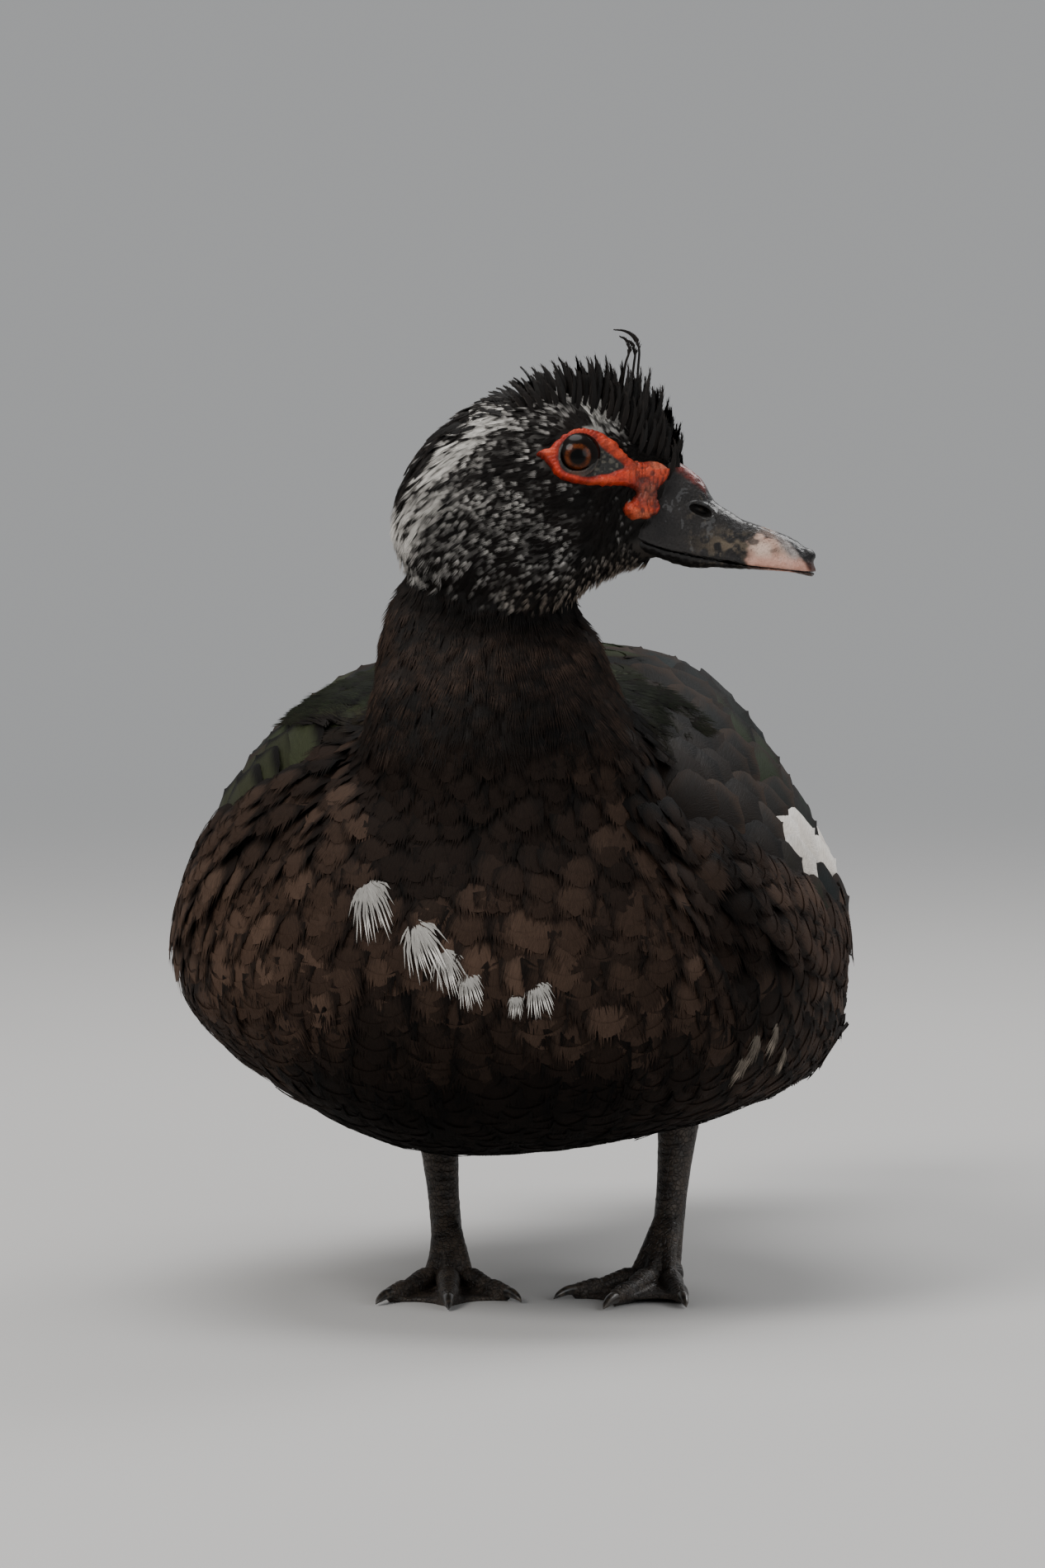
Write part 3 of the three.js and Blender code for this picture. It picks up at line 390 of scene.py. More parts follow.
# Camera: a point of the bird, the direction it is seen from, and the photograph's size in pixels
VIEW_TARGET = np.array([18.2, -59.2, 181])
VIEW_AZIMUTH = math.radians(11)
VIEW_ELEVATION = math.radians(4)
VIEW_DISTANCE = 3000
PIXELS_PER_MM = 3.6
PHOTO_WIDTH = 1266
PHOTO_HEIGHT = 1900
SENSOR = 36
VIEW_RIGHT = np.array([math.cos(VIEW_AZIMUTH), math.sin(VIEW_AZIMUTH), 0])
VIEW_AHEAD = np.array([-math.sin(VIEW_AZIMUTH), math.cos(VIEW_AZIMUTH), 0])
VIEW_BACK = np.array([0, 0, math.sin(VIEW_ELEVATION)]) - VIEW_AHEAD * math.cos(VIEW_ELEVATION)

# Lights: place and width in metres, power, colour
LIGHTS = {
    "key": [(-1.1, -1.7, 1.9), 1.3, 44, (1.0, 0.98, 0.95)],
    "fill": [(1.9, -1.4, 0.9), 1.6, 15, (0.95, 0.98, 1.0)],
    "back": [(0.9, 1.6, 1.7), 1.2, 24, (1.0, 1.0, 1.0)],
    "top": [(-0.2, 0.1, 2.2), 1.4, 24, (1.0, 1.0, 1.0)],
}
LIGHTS_AIM = (0, -0.05, 0.17)
SKY = (0.74, 0.75, 0.76, 1)
SKY_STRENGTH = 0.5


# Curves and surfaces


def smoothstep(value, low, high):
    """0 below low, 1 above high, and a smooth rise between."""
    t = np.clip((value - low) / (high - low), 0, 1)
    return t * t * (3 - 2 * t)


def hump(value, start, full, fade, end):
    """A smooth rise from start to full, and a smooth fall from fade to end."""
    return smoothstep(value, start, full) * smoothstep(value, end, fade)


def bell(value, middle, width, power=2):
    """1 at the middle, and a smooth fall on both sides of it."""
    return np.exp(-(((value - middle) / width) ** power))


def blend(a, b, share):
    """From a to b by share, for numbers or for colours with a share each."""
    return a + (b - a) * share


def tinted(a, b, share):
    """Colours between a and b, one for each share."""
    return blend(np.asarray(a, float), np.asarray(b, float), np.asarray(share)[..., None])


def washed(colours, tint, amount):
    """Colours drawn towards a tint, or towards one tint each, by an amount each."""
    return blend(colours, np.asarray(tint, float), amount[:, None])


def unit(vectors):
    """The same directions, of length one."""
    return vectors / np.maximum(np.linalg.norm(vectors, axis=-1, keepdims=True), 1e-9)


def looked_up(table, value, column=1):
    """A column of a table at values of its first column, along straight lines between its rows."""
    rows = np.array(table, float)
    return np.interp(value, rows[:, 0], rows[:, column])


class Curve:
    """A smooth curve through points whose first values rise."""

    def __init__(self, xs, ys):
        self.xs = np.asarray(xs, float)
        self.ys = np.asarray(ys, float)
        widths = np.diff(self.xs)
        grades = np.diff(self.ys) / widths
        inner = (grades[1:] * widths[:-1] + grades[:-1] * widths[1:]) / (widths[1:] + widths[:-1])
        self.slopes = np.concatenate([grades[:1], inner, grades[-1:]])

    def __call__(self, value):
        x = np.clip(value, self.xs[0], self.xs[-1])
        i = np.clip(np.searchsorted(self.xs, x, side="right") - 1, 0, len(self.xs) - 2)
        width = self.xs[i + 1] - self.xs[i]
        t = (x - self.xs[i]) / width
        low = self.ys[i] * (1 + 2 * t) * (1 - t) ** 2 + self.slopes[i] * width * t * (1 - t) ** 2
        return low + self.ys[i + 1] * t * t * (3 - 2 * t) + self.slopes[i + 1] * width * t * t * (t - 1)


def columns(table, shape=lambda x: x):
    """A curve for each further column of a table, over its first column."""
    table = np.asarray(table, float)
    return [Curve(shape(table[:, 0]), table[:, i]) for i in range(1, table.shape[1])]


def evenly(table):
    """A curve for each column of a table, from 0 at its first row to 1 at its last."""
    return [Curve(np.linspace(0, 1, len(table)), column) for column in np.array(table, float).T]


def points_on(curves, t):
    """The points of a line that has a curve for each coordinate."""
    return np.stack([curve(t) for curve in curves], axis=-1)


def outline(turn, half, up, down, up_power, down_power):
    """A point on a rounded outline: turn 0 is at its widest, a quarter turn is its top."""
    c = np.cos(turn)
    s = np.sin(turn)
    power = blend(down_power, up_power, smoothstep(s, -0.35, 0.35))
    r = (np.abs(c) ** power + np.abs(s) ** power) ** (-1 / power)
    return half * r * c, np.where(s > 0, up, down) * r * s


def from_breast(y):
    return np.sqrt(np.maximum(0, y - BREAST_Y))


trunk_half, trunk_top, trunk_low, trunk_wide, trunk_full = columns(TRUNK, from_breast)


def trunk_bare(turn, y):
    """The trunk's outer surface by its turn about the body and y."""
    s = from_breast(y)
    wide = trunk_wide(s)
    half = trunk_half(s)
    x, z = outline(turn, half, trunk_top(s) - wide, wide - trunk_low(s), BACK_FULLNESS, trunk_full(s))
    upper = np.where(x > 0, LEAN["upper_left"], LEAN["upper_right"]) * np.cos(turn) ** 2
    lower = np.where(x > 0, LEAN["lower_left"], LEAN["lower_right"])
    lean = np.where(z > 0, upper, lower) * np.sin(2 * turn) ** 2
    return np.stack([x + lean * half, y + 0 * x, wide + z], axis=-1)


def ruff_level(ahead):
    return looked_up(RUFF, ahead)


def breast_folds(points):
    """The furrow between breast and flank, and the swelling of the breast beside it, each from 0 to 1."""
    furrow = np.zeros(len(points))
    swelling = np.zeros(len(points))
    for hand, edge in BREAST_EDGE.items():
        lowest = edge[0][0]
        off = hand * points[:, 0] - looked_up(edge, points[:, 2])
        here = hump(points[:, 2], lowest - 6, lowest + 14, 210, 226) * smoothstep(points[:, 1], 0, -28)
        here = here * (1.0 if hand > 0 else 0.7)
        furrow = furrow + here * bell(off, 4, 6.5)
        swelling = swelling + here * bell(off, -9, 10)
    return furrow, swelling


def lifted(place, turn, along, lift, step, hand=1):
    """A surface's points moved out along its normals by lift, with the normals."""
    a = place(turn + 0.02, along) - place(turn - 0.02, along)
    b = place(turn, along + step) - place(turn, along - step)
    out = hand * unit(np.cross(a, b))
    return place(turn, along) + out * np.asarray(lift)[..., None], out


def trunk(turn, y, lift):
    return lifted(trunk_bare, turn, np.maximum(y, BREAST_Y + 3), lift, 1, -1)


*NECK_MIDDLE, neck_half, neck_deep = evenly(NECK)


def neck(turn, t):
    """The neck's outer surface, t from its root to its top."""
    along = unit(points_on(NECK_MIDDLE, t + 0.01) - points_on(NECK_MIDDLE, t - 0.01))
    back = unit(np.array([0, 1, 0]) - along * along[..., 1:2])
    side = np.cross(back, along)
    wide = (neck_half(t) * np.cos(turn))[..., None]
    deep = (neck_deep(t) * np.sin(turn))[..., None]
    return points_on(NECK_MIDDLE, t) + side * wide + back * deep


def from_sections(sections, turn, ahead, up_power, down_power):
    """A surface in the head's own frame: x ahead, y to her left, z up, from the point between the eyes."""
    half, top, low, wide = (curve(ahead) for curve in sections)
    side, up = outline(turn, half, top - wide, wide - low, up_power, down_power)
    return np.stack([ahead + 0 * side, side, wide + up], axis=-1)


HEAD_SECTIONS = columns(HEAD)
BILL_SECTIONS = columns(BILL)


def head_bare(turn, ahead):
    return from_sections(HEAD_SECTIONS, turn, ahead, 1.85, 2.8)


def head(turn, ahead, lift):
    return lifted(head_bare, turn, ahead, lift, 0.5)


def bill(turn, ahead):
    return from_sections(BILL_SECTIONS, turn, ahead, 1.9, 3)


HEAD_AXES = np.array(Matrix.Rotation(HEAD_TURN, 3, "Z"))


def from_head(points):
    """Points of the head's own frame, in the maker's frame."""
    return points @ HEAD_AXES.T + HEAD_AT


def to_head(points):
    return (points - HEAD_AT) @ HEAD_AXES


def turn_at(surface, ahead, level):
    """The turn at which a surface of the head reaches a level, on her left side."""
    low = np.full(ahead.shape, -math.pi / 2)
    high = np.full(ahead.shape, math.pi / 2)
    for _ in range(24):
        middle = (low + high) / 2
        below = surface(middle, ahead)[..., 2] < level
        low = np.where(below, middle, low)
        high = np.where(below, high, middle)
    return low


def inside(polygon, x, y):
    """Which points lie inside a polygon."""
    hits = np.zeros(np.shape(x), bool)
    for (ax, ay), (bx, by) in zip(polygon, polygon[1:] + polygon[:1]):
        crosses = (ay > y) != (by > y)
        reach = ax + (y - ay) * (bx - ax) / (by - ay if by != ay else 1e-9)
        hits ^= crosses & (x < reach)
    return hits


def rounded(polygon, rounds=2):
    """A polygon with its corners cut again and again."""
    points = np.array(polygon, float)
    for _ in range(rounds):
        ahead = np.roll(points, -1, axis=0)
        corners = [0.75 * points + 0.25 * ahead, 0.25 * points + 0.75 * ahead]
        points = np.stack(corners, axis=1).reshape(-1, 2)
    return points.tolist()


def edge_distance(polygon, x, y):
    """How far points lie inside a polygon's edge, less than 0 outside it, with the nearest places on it."""
    best = np.full(np.shape(x), 1e9)
    near_x = np.array(x, float)
    near_y = np.array(y, float)
    for (ax, ay), (bx, by) in zip(polygon, polygon[1:] + polygon[:1]):
        dx, dy = bx - ax, by - ay
        t = np.clip(((x - ax) * dx + (y - ay) * dy) / (dx * dx + dy * dy), 0, 1)
        px, py = ax + t * dx, ay + t * dy
        reach = np.hypot(x - px, y - py)
        near = reach < best
        best = np.where(near, reach, best)
        near_x = np.where(near, px, near_x)
        near_y = np.where(near, py, near_y)
    return np.where(inside(polygon, x, y), best, -best), near_x, near_y


def grain(points, size, seed):
    """Smooth random values from 0 to 1 over space, in blotches of about the given size."""
    scaled = np.asarray(points, float) / size + seed * 17.31
    cell = np.floor(scaled).astype(np.int64)
    part = scaled - cell
    part = part * part * (3 - 2 * part)
    total = 0
    for corner in itertools.product((0, 1), repeat=3):
        key = (cell + corner) @ np.array([73856093, 19349663, 83492791])
        key = (key ^ (key >> 13)) * 1274126177 & 0x7FFFFFFF
        value = ((key ^ (key >> 16)) & 0xFFFF) / 0xFFFF
        total = total + value * np.prod(np.where(corner, part, 1 - part), axis=-1)
    return total


# The maker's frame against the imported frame, by the left eye
eye_low, eye_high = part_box("eye_left")
EYE_PACKED = np.array((eye_low + eye_high) / 2) * 1000
HOME = EYE_PACKED - from_head(np.array([0, EYE_ASIDE, 0]))


# Meshes


WALL_HALF = 40  # the walls that part the bill: half width, end ahead, top and foot
WALL_END = 120
WALL_TOP = 30
WALL_FOOT = -70


def outward(made):
    """The same form with its faces turned outwards."""
    bmesh.ops.recalc_face_normals(made, faces=made.faces)
    return made


def form(around, rings, place, tips=(None, None)):
    """A closed form: a sphere's mesh laid over place(turn, t), t from 0 to 1, each end closed on a tip."""
    made = bmesh.new()
    bmesh.ops.create_uvsphere(made, u_segments=around, v_segments=rings + 1, radius=1)
    co = np.array([v.co for v in made.verts])
    ring = np.rint(np.arccos(np.clip(co[:, 2], -1, 1)) / math.pi * (rings + 1)).astype(int)
    turn = np.arctan2(co[:, 1], co[:, 0])
    at = np.array(place(turn, np.clip((ring - 1) / (rings - 1), 0, 1)), float)
    for end, near, tip in ((0, 1, tips[0]), (rings + 1, rings, tips[1])):
        at[ring == end] = at[ring == near].mean(axis=0) if tip is None else tip
    for vert, place_at in zip(made.verts, at):
        vert.co = place_at
    return outward(made)


def rod(points, radii, sides, rings, flatten=1.0):
    """A tapered rod along points."""
    middle = evenly(points)
    radius = Curve(np.linspace(0, 1, len(radii)), radii)

    def place(turn, t):
        along = unit(points_on(middle, t + 0.01) - points_on(middle, t - 0.01))
        level = np.where(np.abs(along[..., 2:3]) > 0.9, [0.0, 1.0, 0.0], [0.0, 0.0, 1.0])
        side = unit(np.cross(along, level))
        up = np.cross(side, along)
        wide = (radius(t) * np.cos(turn))[..., None]
        high = (flatten * radius(t) * np.sin(turn))[..., None]
        return points_on(middle, t) + side * wide + up * high

    return form(sides, rings, place)


def ball(at, radii, around=24, rings=16):
    """A ball of three radii."""

    def place(turn, t):
        polar = blend(math.pi / (rings + 1), math.pi * rings / (rings + 1), t)
        flat = np.sin(polar)
        return np.stack([flat * np.cos(turn), flat * np.sin(turn), np.cos(polar)], axis=-1) * radii + at

    tips = [np.array([0, 0, end]) * radii + at for end in (1, -1)]
    return form(around, rings, place, tips)


def second_side(made):
    """Pulls a copy out of all faces of a form, and gives the copy's corners."""
    pulled = bmesh.ops.extrude_face_region(made, geom=made.faces[:])["geom"]
    return [item for item in pulled if isinstance(item, bmesh.types.BMVert)]


def wall(points):
    """A wall across the head, whose profile is a polygon of distance ahead and level."""
    made = bmesh.new()
    corners = [made.verts.new((x, -WALL_HALF, z)) for x, z in points]
    made.faces.new(corners)
    bmesh.ops.translate(made, verts=second_side(made), vec=(0, 2 * WALL_HALF, 0))
    return outward(made)


def turned(made, matrix):
    """The same form, carried by a matrix."""
    made.transform(matrix)
    return outward(made)


def joined(parts):
    """Several forms as one mesh."""
    whole = bmesh.new()
    for part in parts:
        carrier = bpy.data.meshes.new("part")
        part.to_mesh(carrier)
        part.free()
        whole.from_mesh(carrier)
        bpy.data.meshes.remove(carrier)
    mesh = bpy.data.meshes.new("whole")
    whole.to_mesh(mesh)
    whole.free()
    return mesh


def opened(mesh):
    """A form from a mesh, which is used up."""
    made = bmesh.new()
    made.from_mesh(mesh)
    bpy.data.meshes.remove(mesh)
    return made


def put(name, data):
    """A new object of the scene."""
    made = bpy.data.objects.new(name, data)
    bpy.context.scene.collection.objects.link(made)
    return made


def through_modifiers(mesh, *steps):
    """The mesh after modifiers, each given as its type and settings."""
    work = put("work", mesh)
    for kind, settings in steps:
        modifier = work.modifiers.new(kind, kind)
        for key, value in settings.items():
            setattr(modifier, key, value)
    bpy.context.view_layer.update()
    depsgraph = bpy.context.evaluated_depsgraph_get()
    result = bpy.data.meshes.new_from_object(work.evaluated_get(depsgraph))
    bpy.data.objects.remove(work)
    bpy.data.meshes.remove(mesh)
    return result


def fused(parts, voxel, rounds):
    """Forms run together into one smooth skin, of faces about voxel wide."""
    remesh = ("REMESH", {"mode": "VOXEL", "voxel_size": voxel, "adaptivity": 0})
    soften = ("SMOOTH", {"factor": 0.5, "iterations": rounds})
    return through_modifiers(joined(parts), remesh, soften)


def cut(part, tool, operation):
    """A form cut by another."""
    knife = put("knife", joined([tool]))
    settings = {"operation": operation, "object": knife, "solver": "EXACT"}
    mesh = through_modifiers(joined([part]), ("BOOLEAN", settings))
    bpy.data.meshes.remove(knife.data)
    return opened(mesh)


def vectors(rows, field):
    """A vector of each of a mesh's rows, as an array."""
    out = np.empty(len(rows) * 3, np.float32)
    rows.foreach_get(field, out)
    return out.reshape(-1, 3).astype(float)


def points_of(mesh):
    return vectors(mesh.vertices, "co")


def normals_of(mesh):
    return vectors(mesh.vertex_normals, "vector")


def move_points(mesh, points):
    mesh.vertices.foreach_set("co", points.astype(np.float32).ravel())
    mesh.update()


def give(mesh, name, values, is_colour=True):
    """A number, a colour or another vector for each point of a mesh, kept under a name."""
    values = np.asarray(values, np.float32)
    kind, field = ("FLOAT_COLOR", "color") if is_colour else ("FLOAT_VECTOR", "vector")
    if values.ndim == 1:
        kind, field = "FLOAT", "value"
    elif is_colour:
        values = np.concatenate([values, np.ones((len(values), 1), np.float32)], axis=1)
    mesh.attributes.new(name, kind, "POINT").data.foreach_set(field, values.ravel())


def piece(name, mesh, material, slot, *nodes):
    """A finished piece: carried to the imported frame, smooth, and riding with the bird."""
    mesh.name = name
    move_points(mesh, (points_of(mesh) + HOME) / 1000)
    mesh.polygons.foreach_set("use_smooth", np.ones(len(mesh.polygons), bool))
    mesh.materials.clear()
    mesh.materials.append(material)
    made = put(name, mesh)
    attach(made, "root")
    if nodes:
        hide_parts(*nodes)
    return made


# Materials


class Value:
    """A node's output, so that shader maths can be written as an expression."""

    def __init__(self, finish, socket):
        self.finish = finish
        self.socket = socket

    def maths(self, operation, a, b):
        return self.finish.node("ShaderNodeMath", {"operation": operation}, {0: a, 1: b})

    def __add__(self, other):
        return self.maths("ADD", self, other)

    def __radd__(self, other):
        return self.maths("ADD", other, self)

    def __sub__(self, other):
        return self.maths("SUBTRACT", self, other)

    def __rsub__(self, other):
        return self.maths("SUBTRACT", other, self)

    def __mul__(self, other):
        return self.maths("MULTIPLY", self, other)

    def __rmul__(self, other):
        return self.maths("MULTIPLY", other, self)

    def __pow__(self, other):
        return self.maths("POWER", self, other)


class Finish:
    """A material under construction."""

    def __init__(self, name, **fixed):
        self.material = bpy.data.materials.new(name)
        self.material.use_nodes = True
        self.tree = self.material.node_tree
        self.shader = self.tree.nodes["Principled BSDF"]
        for socket, value in fixed.items():
            self.shader.inputs[socket.replace("_", " ")].default_value = value

    def node(self, kind, settings, inputs, output=0):
        """A node of a type, with its settings and the values or links of its sockets."""
        made = self.tree.nodes.new(kind)
        for key, value in settings.items():
            setattr(made, key, value)
        for key, value in inputs.items():
            if isinstance(value, Value):
                self.tree.links.new(value.socket, made.inputs[key])
            else:
                made.inputs[key].default_value = value
        return Value(self, made.outputs[output])

    def read(self, name, output="Fac"):
        """A value, colour or vector that a mesh carries."""
        return self.node("ShaderNodeAttribute", {"attribute_name": name}, {}, output)

    def place(self):
        return self.node("ShaderNodeTexCoord", {}, {}, "Object")

    def noise(self, scale, detail, roughness=0.55, where=None):
        inputs = {"Scale": scale, "Detail": detail, "Roughness": roughness, "Vector": where or self.place()}
        return self.node("ShaderNodeTexNoise", {}, inputs)

    def cells(self, scale, feature="F1"):
        inputs = {"Scale": scale, "Vector": self.place()}
        return self.node("ShaderNodeTexVoronoi", {"feature": feature}, inputs, "Distance")

    def rise(self, value, low, high):
        """A smooth rise from 0 to 1 as the value goes from low to high."""
        inputs = {0: value, 1: low, 2: high, 3: 0.0, 4: 1.0}
        return self.node("ShaderNodeMapRange", {"interpolation_type": "SMOOTHSTEP"}, inputs)

    def mix(self, a, b, share, way="MIX"):
        """A colour between a and b, or b laid over a in another way."""
        inputs = {"Factor": share, 6: self.colour(a), 7: self.colour(b)}
        return self.node("ShaderNodeMix", {"data_type": "RGBA", "blend_type": way}, inputs, 2)

    def shade(self, colour, amount):
        """A colour made lighter or darker by a value."""
        grey = self.node("ShaderNodeCombineColor", {}, {0: amount, 1: amount, 2: amount})
        return self.mix(colour, grey, 1.0, "MULTIPLY")

    def colour(self, value):
        return value if isinstance(value, Value) else (*value, 1.0)

    def set(self, **sockets):
        """Links what varies to the shader."""
        for socket, value in sockets.items():
            self.tree.links.new(value.socket, self.shader.inputs[socket.replace("_", " ")])

    def bump(self, height, strength, distance):
        """Fine relief from a height, with a depth in metres."""
        inputs = {"Height": height, "Strength": strength, "Distance": distance}
        self.set(Normal=self.node("ShaderNodeBump", {}, inputs))


class Plumage(Finish):
    """A finish of feathers, and what each point knows of its feather: how far along and across it lies, the
    feather's own random draw, and the fine barbs."""

    def __init__(self, name, **fixed):
        super().__init__(name, **fixed)
        self.along = self.read("along")
        self.across = self.node("ShaderNodeMath", {"operation": "ABSOLUTE"}, {0: self.read("across")})
        self.draw = self.read("draw")
        self.barbs = self.noise(1.0, 3.0, 0.62, self.read("barb", "Vector"))

    def edge(self, start):
        """How near the feather's edge or end is, with the end's border beginning at start."""
        inputs = {0: self.across, 1: (self.along - start) * 1.75}
        return self.node("ShaderNodeMath", {"operation": "MAXIMUM"}, inputs)


def centre_mark(plumage):
    """A rounded patch short of the feather's end, darker round its edge."""
    length = (plumage.along - 0.6) * 2.3
    width = plumage.across * 1.2
    return plumage.rise(1 - (length * length + width * width) + (plumage.barbs - 0.5) * 0.9, 0.0, 0.85)


def tip_mark(plumage):
    """The end of the feather."""
    return plumage.rise(plumage.along + (plumage.barbs - 0.5) * 0.25 + plumage.draw * 0.12, 0.52, 0.68)


def fringe_mark(plumage):
    """A thin line along the feather's edge and end, which carries the crest's painted highlight and the
    white of a few feathers.
    """
    return plumage.rise(plumage.edge(0.45) + (plumage.barbs - 0.5) * 0.3, 0.62, 0.98)


def border_mark(plumage):
    """A broad border round the feather's end."""
    return plumage.rise(plumage.edge(0.42) + (plumage.barbs - 0.5) * 0.35 + plumage.draw * 0.1, 0.5, 0.9)


def plumage_finish(name, mark, specular, roughness, metal=0.0, relief=0.5):
    """Feathers: two colours of their own, laid out by mark, with fine barbs from the shaft to the edge."""
    plumage = Plumage(name, Specular_IOR_Level=specular)
    barbs = plumage.barbs
    share = mark(plumage)
    colour = plumage.mix(plumage.read("colour", "Color"), plumage.read("second", "Color"), share)
    colour = plumage.shade(colour, 0.3 + plumage.draw * 0.3 + barbs * 1.1)
    plumage.bump(barbs, relief, 0.0005)
    plumage.set(Base_Color=colour, Roughness=roughness + barbs * 0.25 - plumage.draw * 0.08)
    if metal:
        plumage.set(Metallic=plumage.read("gloss") * (1 - share) * metal)
    return plumage.material


def skin_finish():
    """Skin between the feathers, in the markings of the coat."""
    finish = Finish("skin", Specular_IOR_Level=0.15)
    patches = finish.noise(260.0, 4.0)
    colour = finish.shade(finish.read("colour", "Color"), 0.45 + patches * 0.6)
    finish.bump(finish.cells(1100.0), 0.4, 0.0003)
    finish.set(Base_Color=colour, Roughness=0.65 + patches * 0.2)
    return finish.material


def bare_skin_finish():
    """Bare facial skin: pebbled, a little wet on the red."""
    finish = Finish("bare_skin", Coat_Weight=0.12, Coat_Roughness=0.3, Specular_IOR_Level=0.22)
    colour = finish.read("colour", "Color")
    cells = finish.cells(1500.0)
    fine = finish.noise(1400.0, 3.0, 0.6)
    finish.bump(cells * 0.9 + fine * 0.6, 0.5, 0.00035)
    finish.set(Base_Color=finish.shade(colour, 0.72 + cells * 0.5), Roughness=0.34 + fine * 0.3)
    return finish.material


def eye_finish():
    """A wet eye: a black pupil, a deep amber-brown iris with fine rays, and a dark rim."""
    finish = Finish("eye", Coat_Weight=0.14, Coat_Roughness=0.02, Specular_IOR_Level=0.08)
    radius = finish.read("radius")
    rays = finish.noise(7.0, 4.0, 0.7, finish.read("ray", "Vector"))
    cloud = finish.noise(500.0, 2.0)
    iris = finish.mix(*IRIS, finish.rise(rays * 0.6 + cloud * 0.4, 0.36, 0.62))
    inner = finish.mix(IRIS_INNER, iris, finish.rise(radius, 2.5, 3.3))
    rim = finish.mix(inner, IRIS_RIM, finish.rise(radius, 3.9, 4.8))
    colour = finish.mix(PUPIL, rim, finish.rise(radius, 2.25, 2.6))
    finish.set(Base_Color=colour, Roughness=0.2 + rays * 0.1)
    return finish.material


def bill_finish():
    """Dark glossy horn with pale mottling, over the colours of saddle, nail and knob."""
    finish = Finish("bill", Coat_Weight=0.35, Coat_Roughness=0.1, Specular_IOR_Level=0.12)
    colour = finish.read("colour", "Color")
    mottle = finish.noise(300.0, 5.0, 0.68)
    specks = finish.noise(1300.0, 3.0, 0.7)
    pale = finish.mix(colour, HORN_MOTTLE, finish.rise(mottle, 0.54, 0.72) * finish.read("mottle"))
    dark = finish.mix(pale, HORN_SPECK, finish.rise(specks, 0.54, 0.66) * finish.read("speck"))
    finish.bump(mottle * 1.2 + specks * 0.5 + finish.cells(800.0) * 0.4, 0.6, 0.0009)
    finish.set(Base_Color=dark, Roughness=0.25 + mottle * 0.35)
    return finish.material


def leg_finish():
    """Blackish brown scaly skin in darker and paler patches, darkened in the creases between the scales as
    painted shade.
    """
    finish = Finish("leg_skin", Specular_IOR_Level=0.4)
    scales = finish.cells(620.0, "DISTANCE_TO_EDGE")
    patches = finish.noise(150.0, 4.0)
    creases = finish.rise(scales, 0.02, 0.16)
    base = finish.mix(*LEG, finish.rise(patches, 0.35, 0.7))
    finish.bump(creases * 0.9 + patches * 0.3, 0.6, 0.0005)
    # painted shade: darker in the creases between the scales
    finish.set(Base_Color=finish.shade(base, 0.45 + creases * 0.6), Roughness=0.42 + patches * 0.2)
    return finish.material


def claw_finish():
    finish = Finish("claw", Coat_Weight=0.3, Coat_Roughness=0.2)
    streaks = finish.noise(380.0, 3.0)
    finish.bump(streaks, 0.3, 0.0003)
    finish.set(Base_Color=finish.mix(*CLAW, finish.rise(streaks, 0.4, 0.75)), Roughness=0.3 + streaks * 0.2)
    return finish.material


def floor_finish():
    """A pale floor that fades out round the bird."""
    finish = Finish("floor", Specular_IOR_Level=0.2)
    cloud = finish.noise(2.0, 3.0)
    finish.set(Base_Color=finish.mix(*FLOOR, cloud), Roughness=0.75 + cloud * 0.1)
    reach = finish.node("ShaderNodeVectorMath", {"operation": "LENGTH"}, {0: finish.place()}, "Value")
    clear = finish.node("ShaderNodeBsdfTransparent", {}, {})
    shown = Value(finish, finish.shader.outputs[0])
    mixed = finish.node("ShaderNodeMixShader", {}, {0: finish.rise(reach, 0.7, 2.6), 1: shown, 2: clear})
    finish.tree.links.new(mixed.socket, finish.tree.nodes["Material Output"].inputs["Surface"])
    return finish.material


# Shapes of feathers


class Shape:
    """One pattern of feather, as points of along, across and height, that many feathers share."""

    def __init__(self, parts):
        points = []
        faces = []
        for part_points, part_faces in parts:
            faces += [[corner + len(points) for corner in face] for face in part_faces]
            points += part_points
        self.points = np.array(points, float)
        self.faces = np.array(faces, int)


def hair(at, tip, wide, high, level):
    """A closed spike from at to tip, both as (along, across), as its points with heights and its faces."""
    along, across = at
    points = [[along, across - wide, level], [along, across + wide, level], [along, across, level + high]]
    points.append([tip[0], tip[1], level])
    return points, [[1, 0, 2], [0, 1, 3], [1, 2, 3], [2, 0, 3]]


def strand(at, tip, bow, wide, high, level):
    """A tapered strip from at to tip, given and made as a hair is, but bowed to the side at its middle."""
    at = np.array(at, float)
    tip = np.array(tip, float)
    middle = (at + tip) / 2 + np.array([0, bow])
    points = []
    for (along, across), width in ((at, wide), (middle, wide * 0.9)):
        points += [[along, across - width, level], [along, across + width, level]]
        points.append([along, across, level + high])
    points.append([tip[0], tip[1], level])
    root_end = [[1, 0, 2], [0, 1, 4], [0, 4, 3], [1, 2, 5], [1, 5, 4], [2, 0, 3], [2, 3, 5]]
    return points, root_end + [[3, 4, 6], [4, 5, 6], [5, 3, 6]]


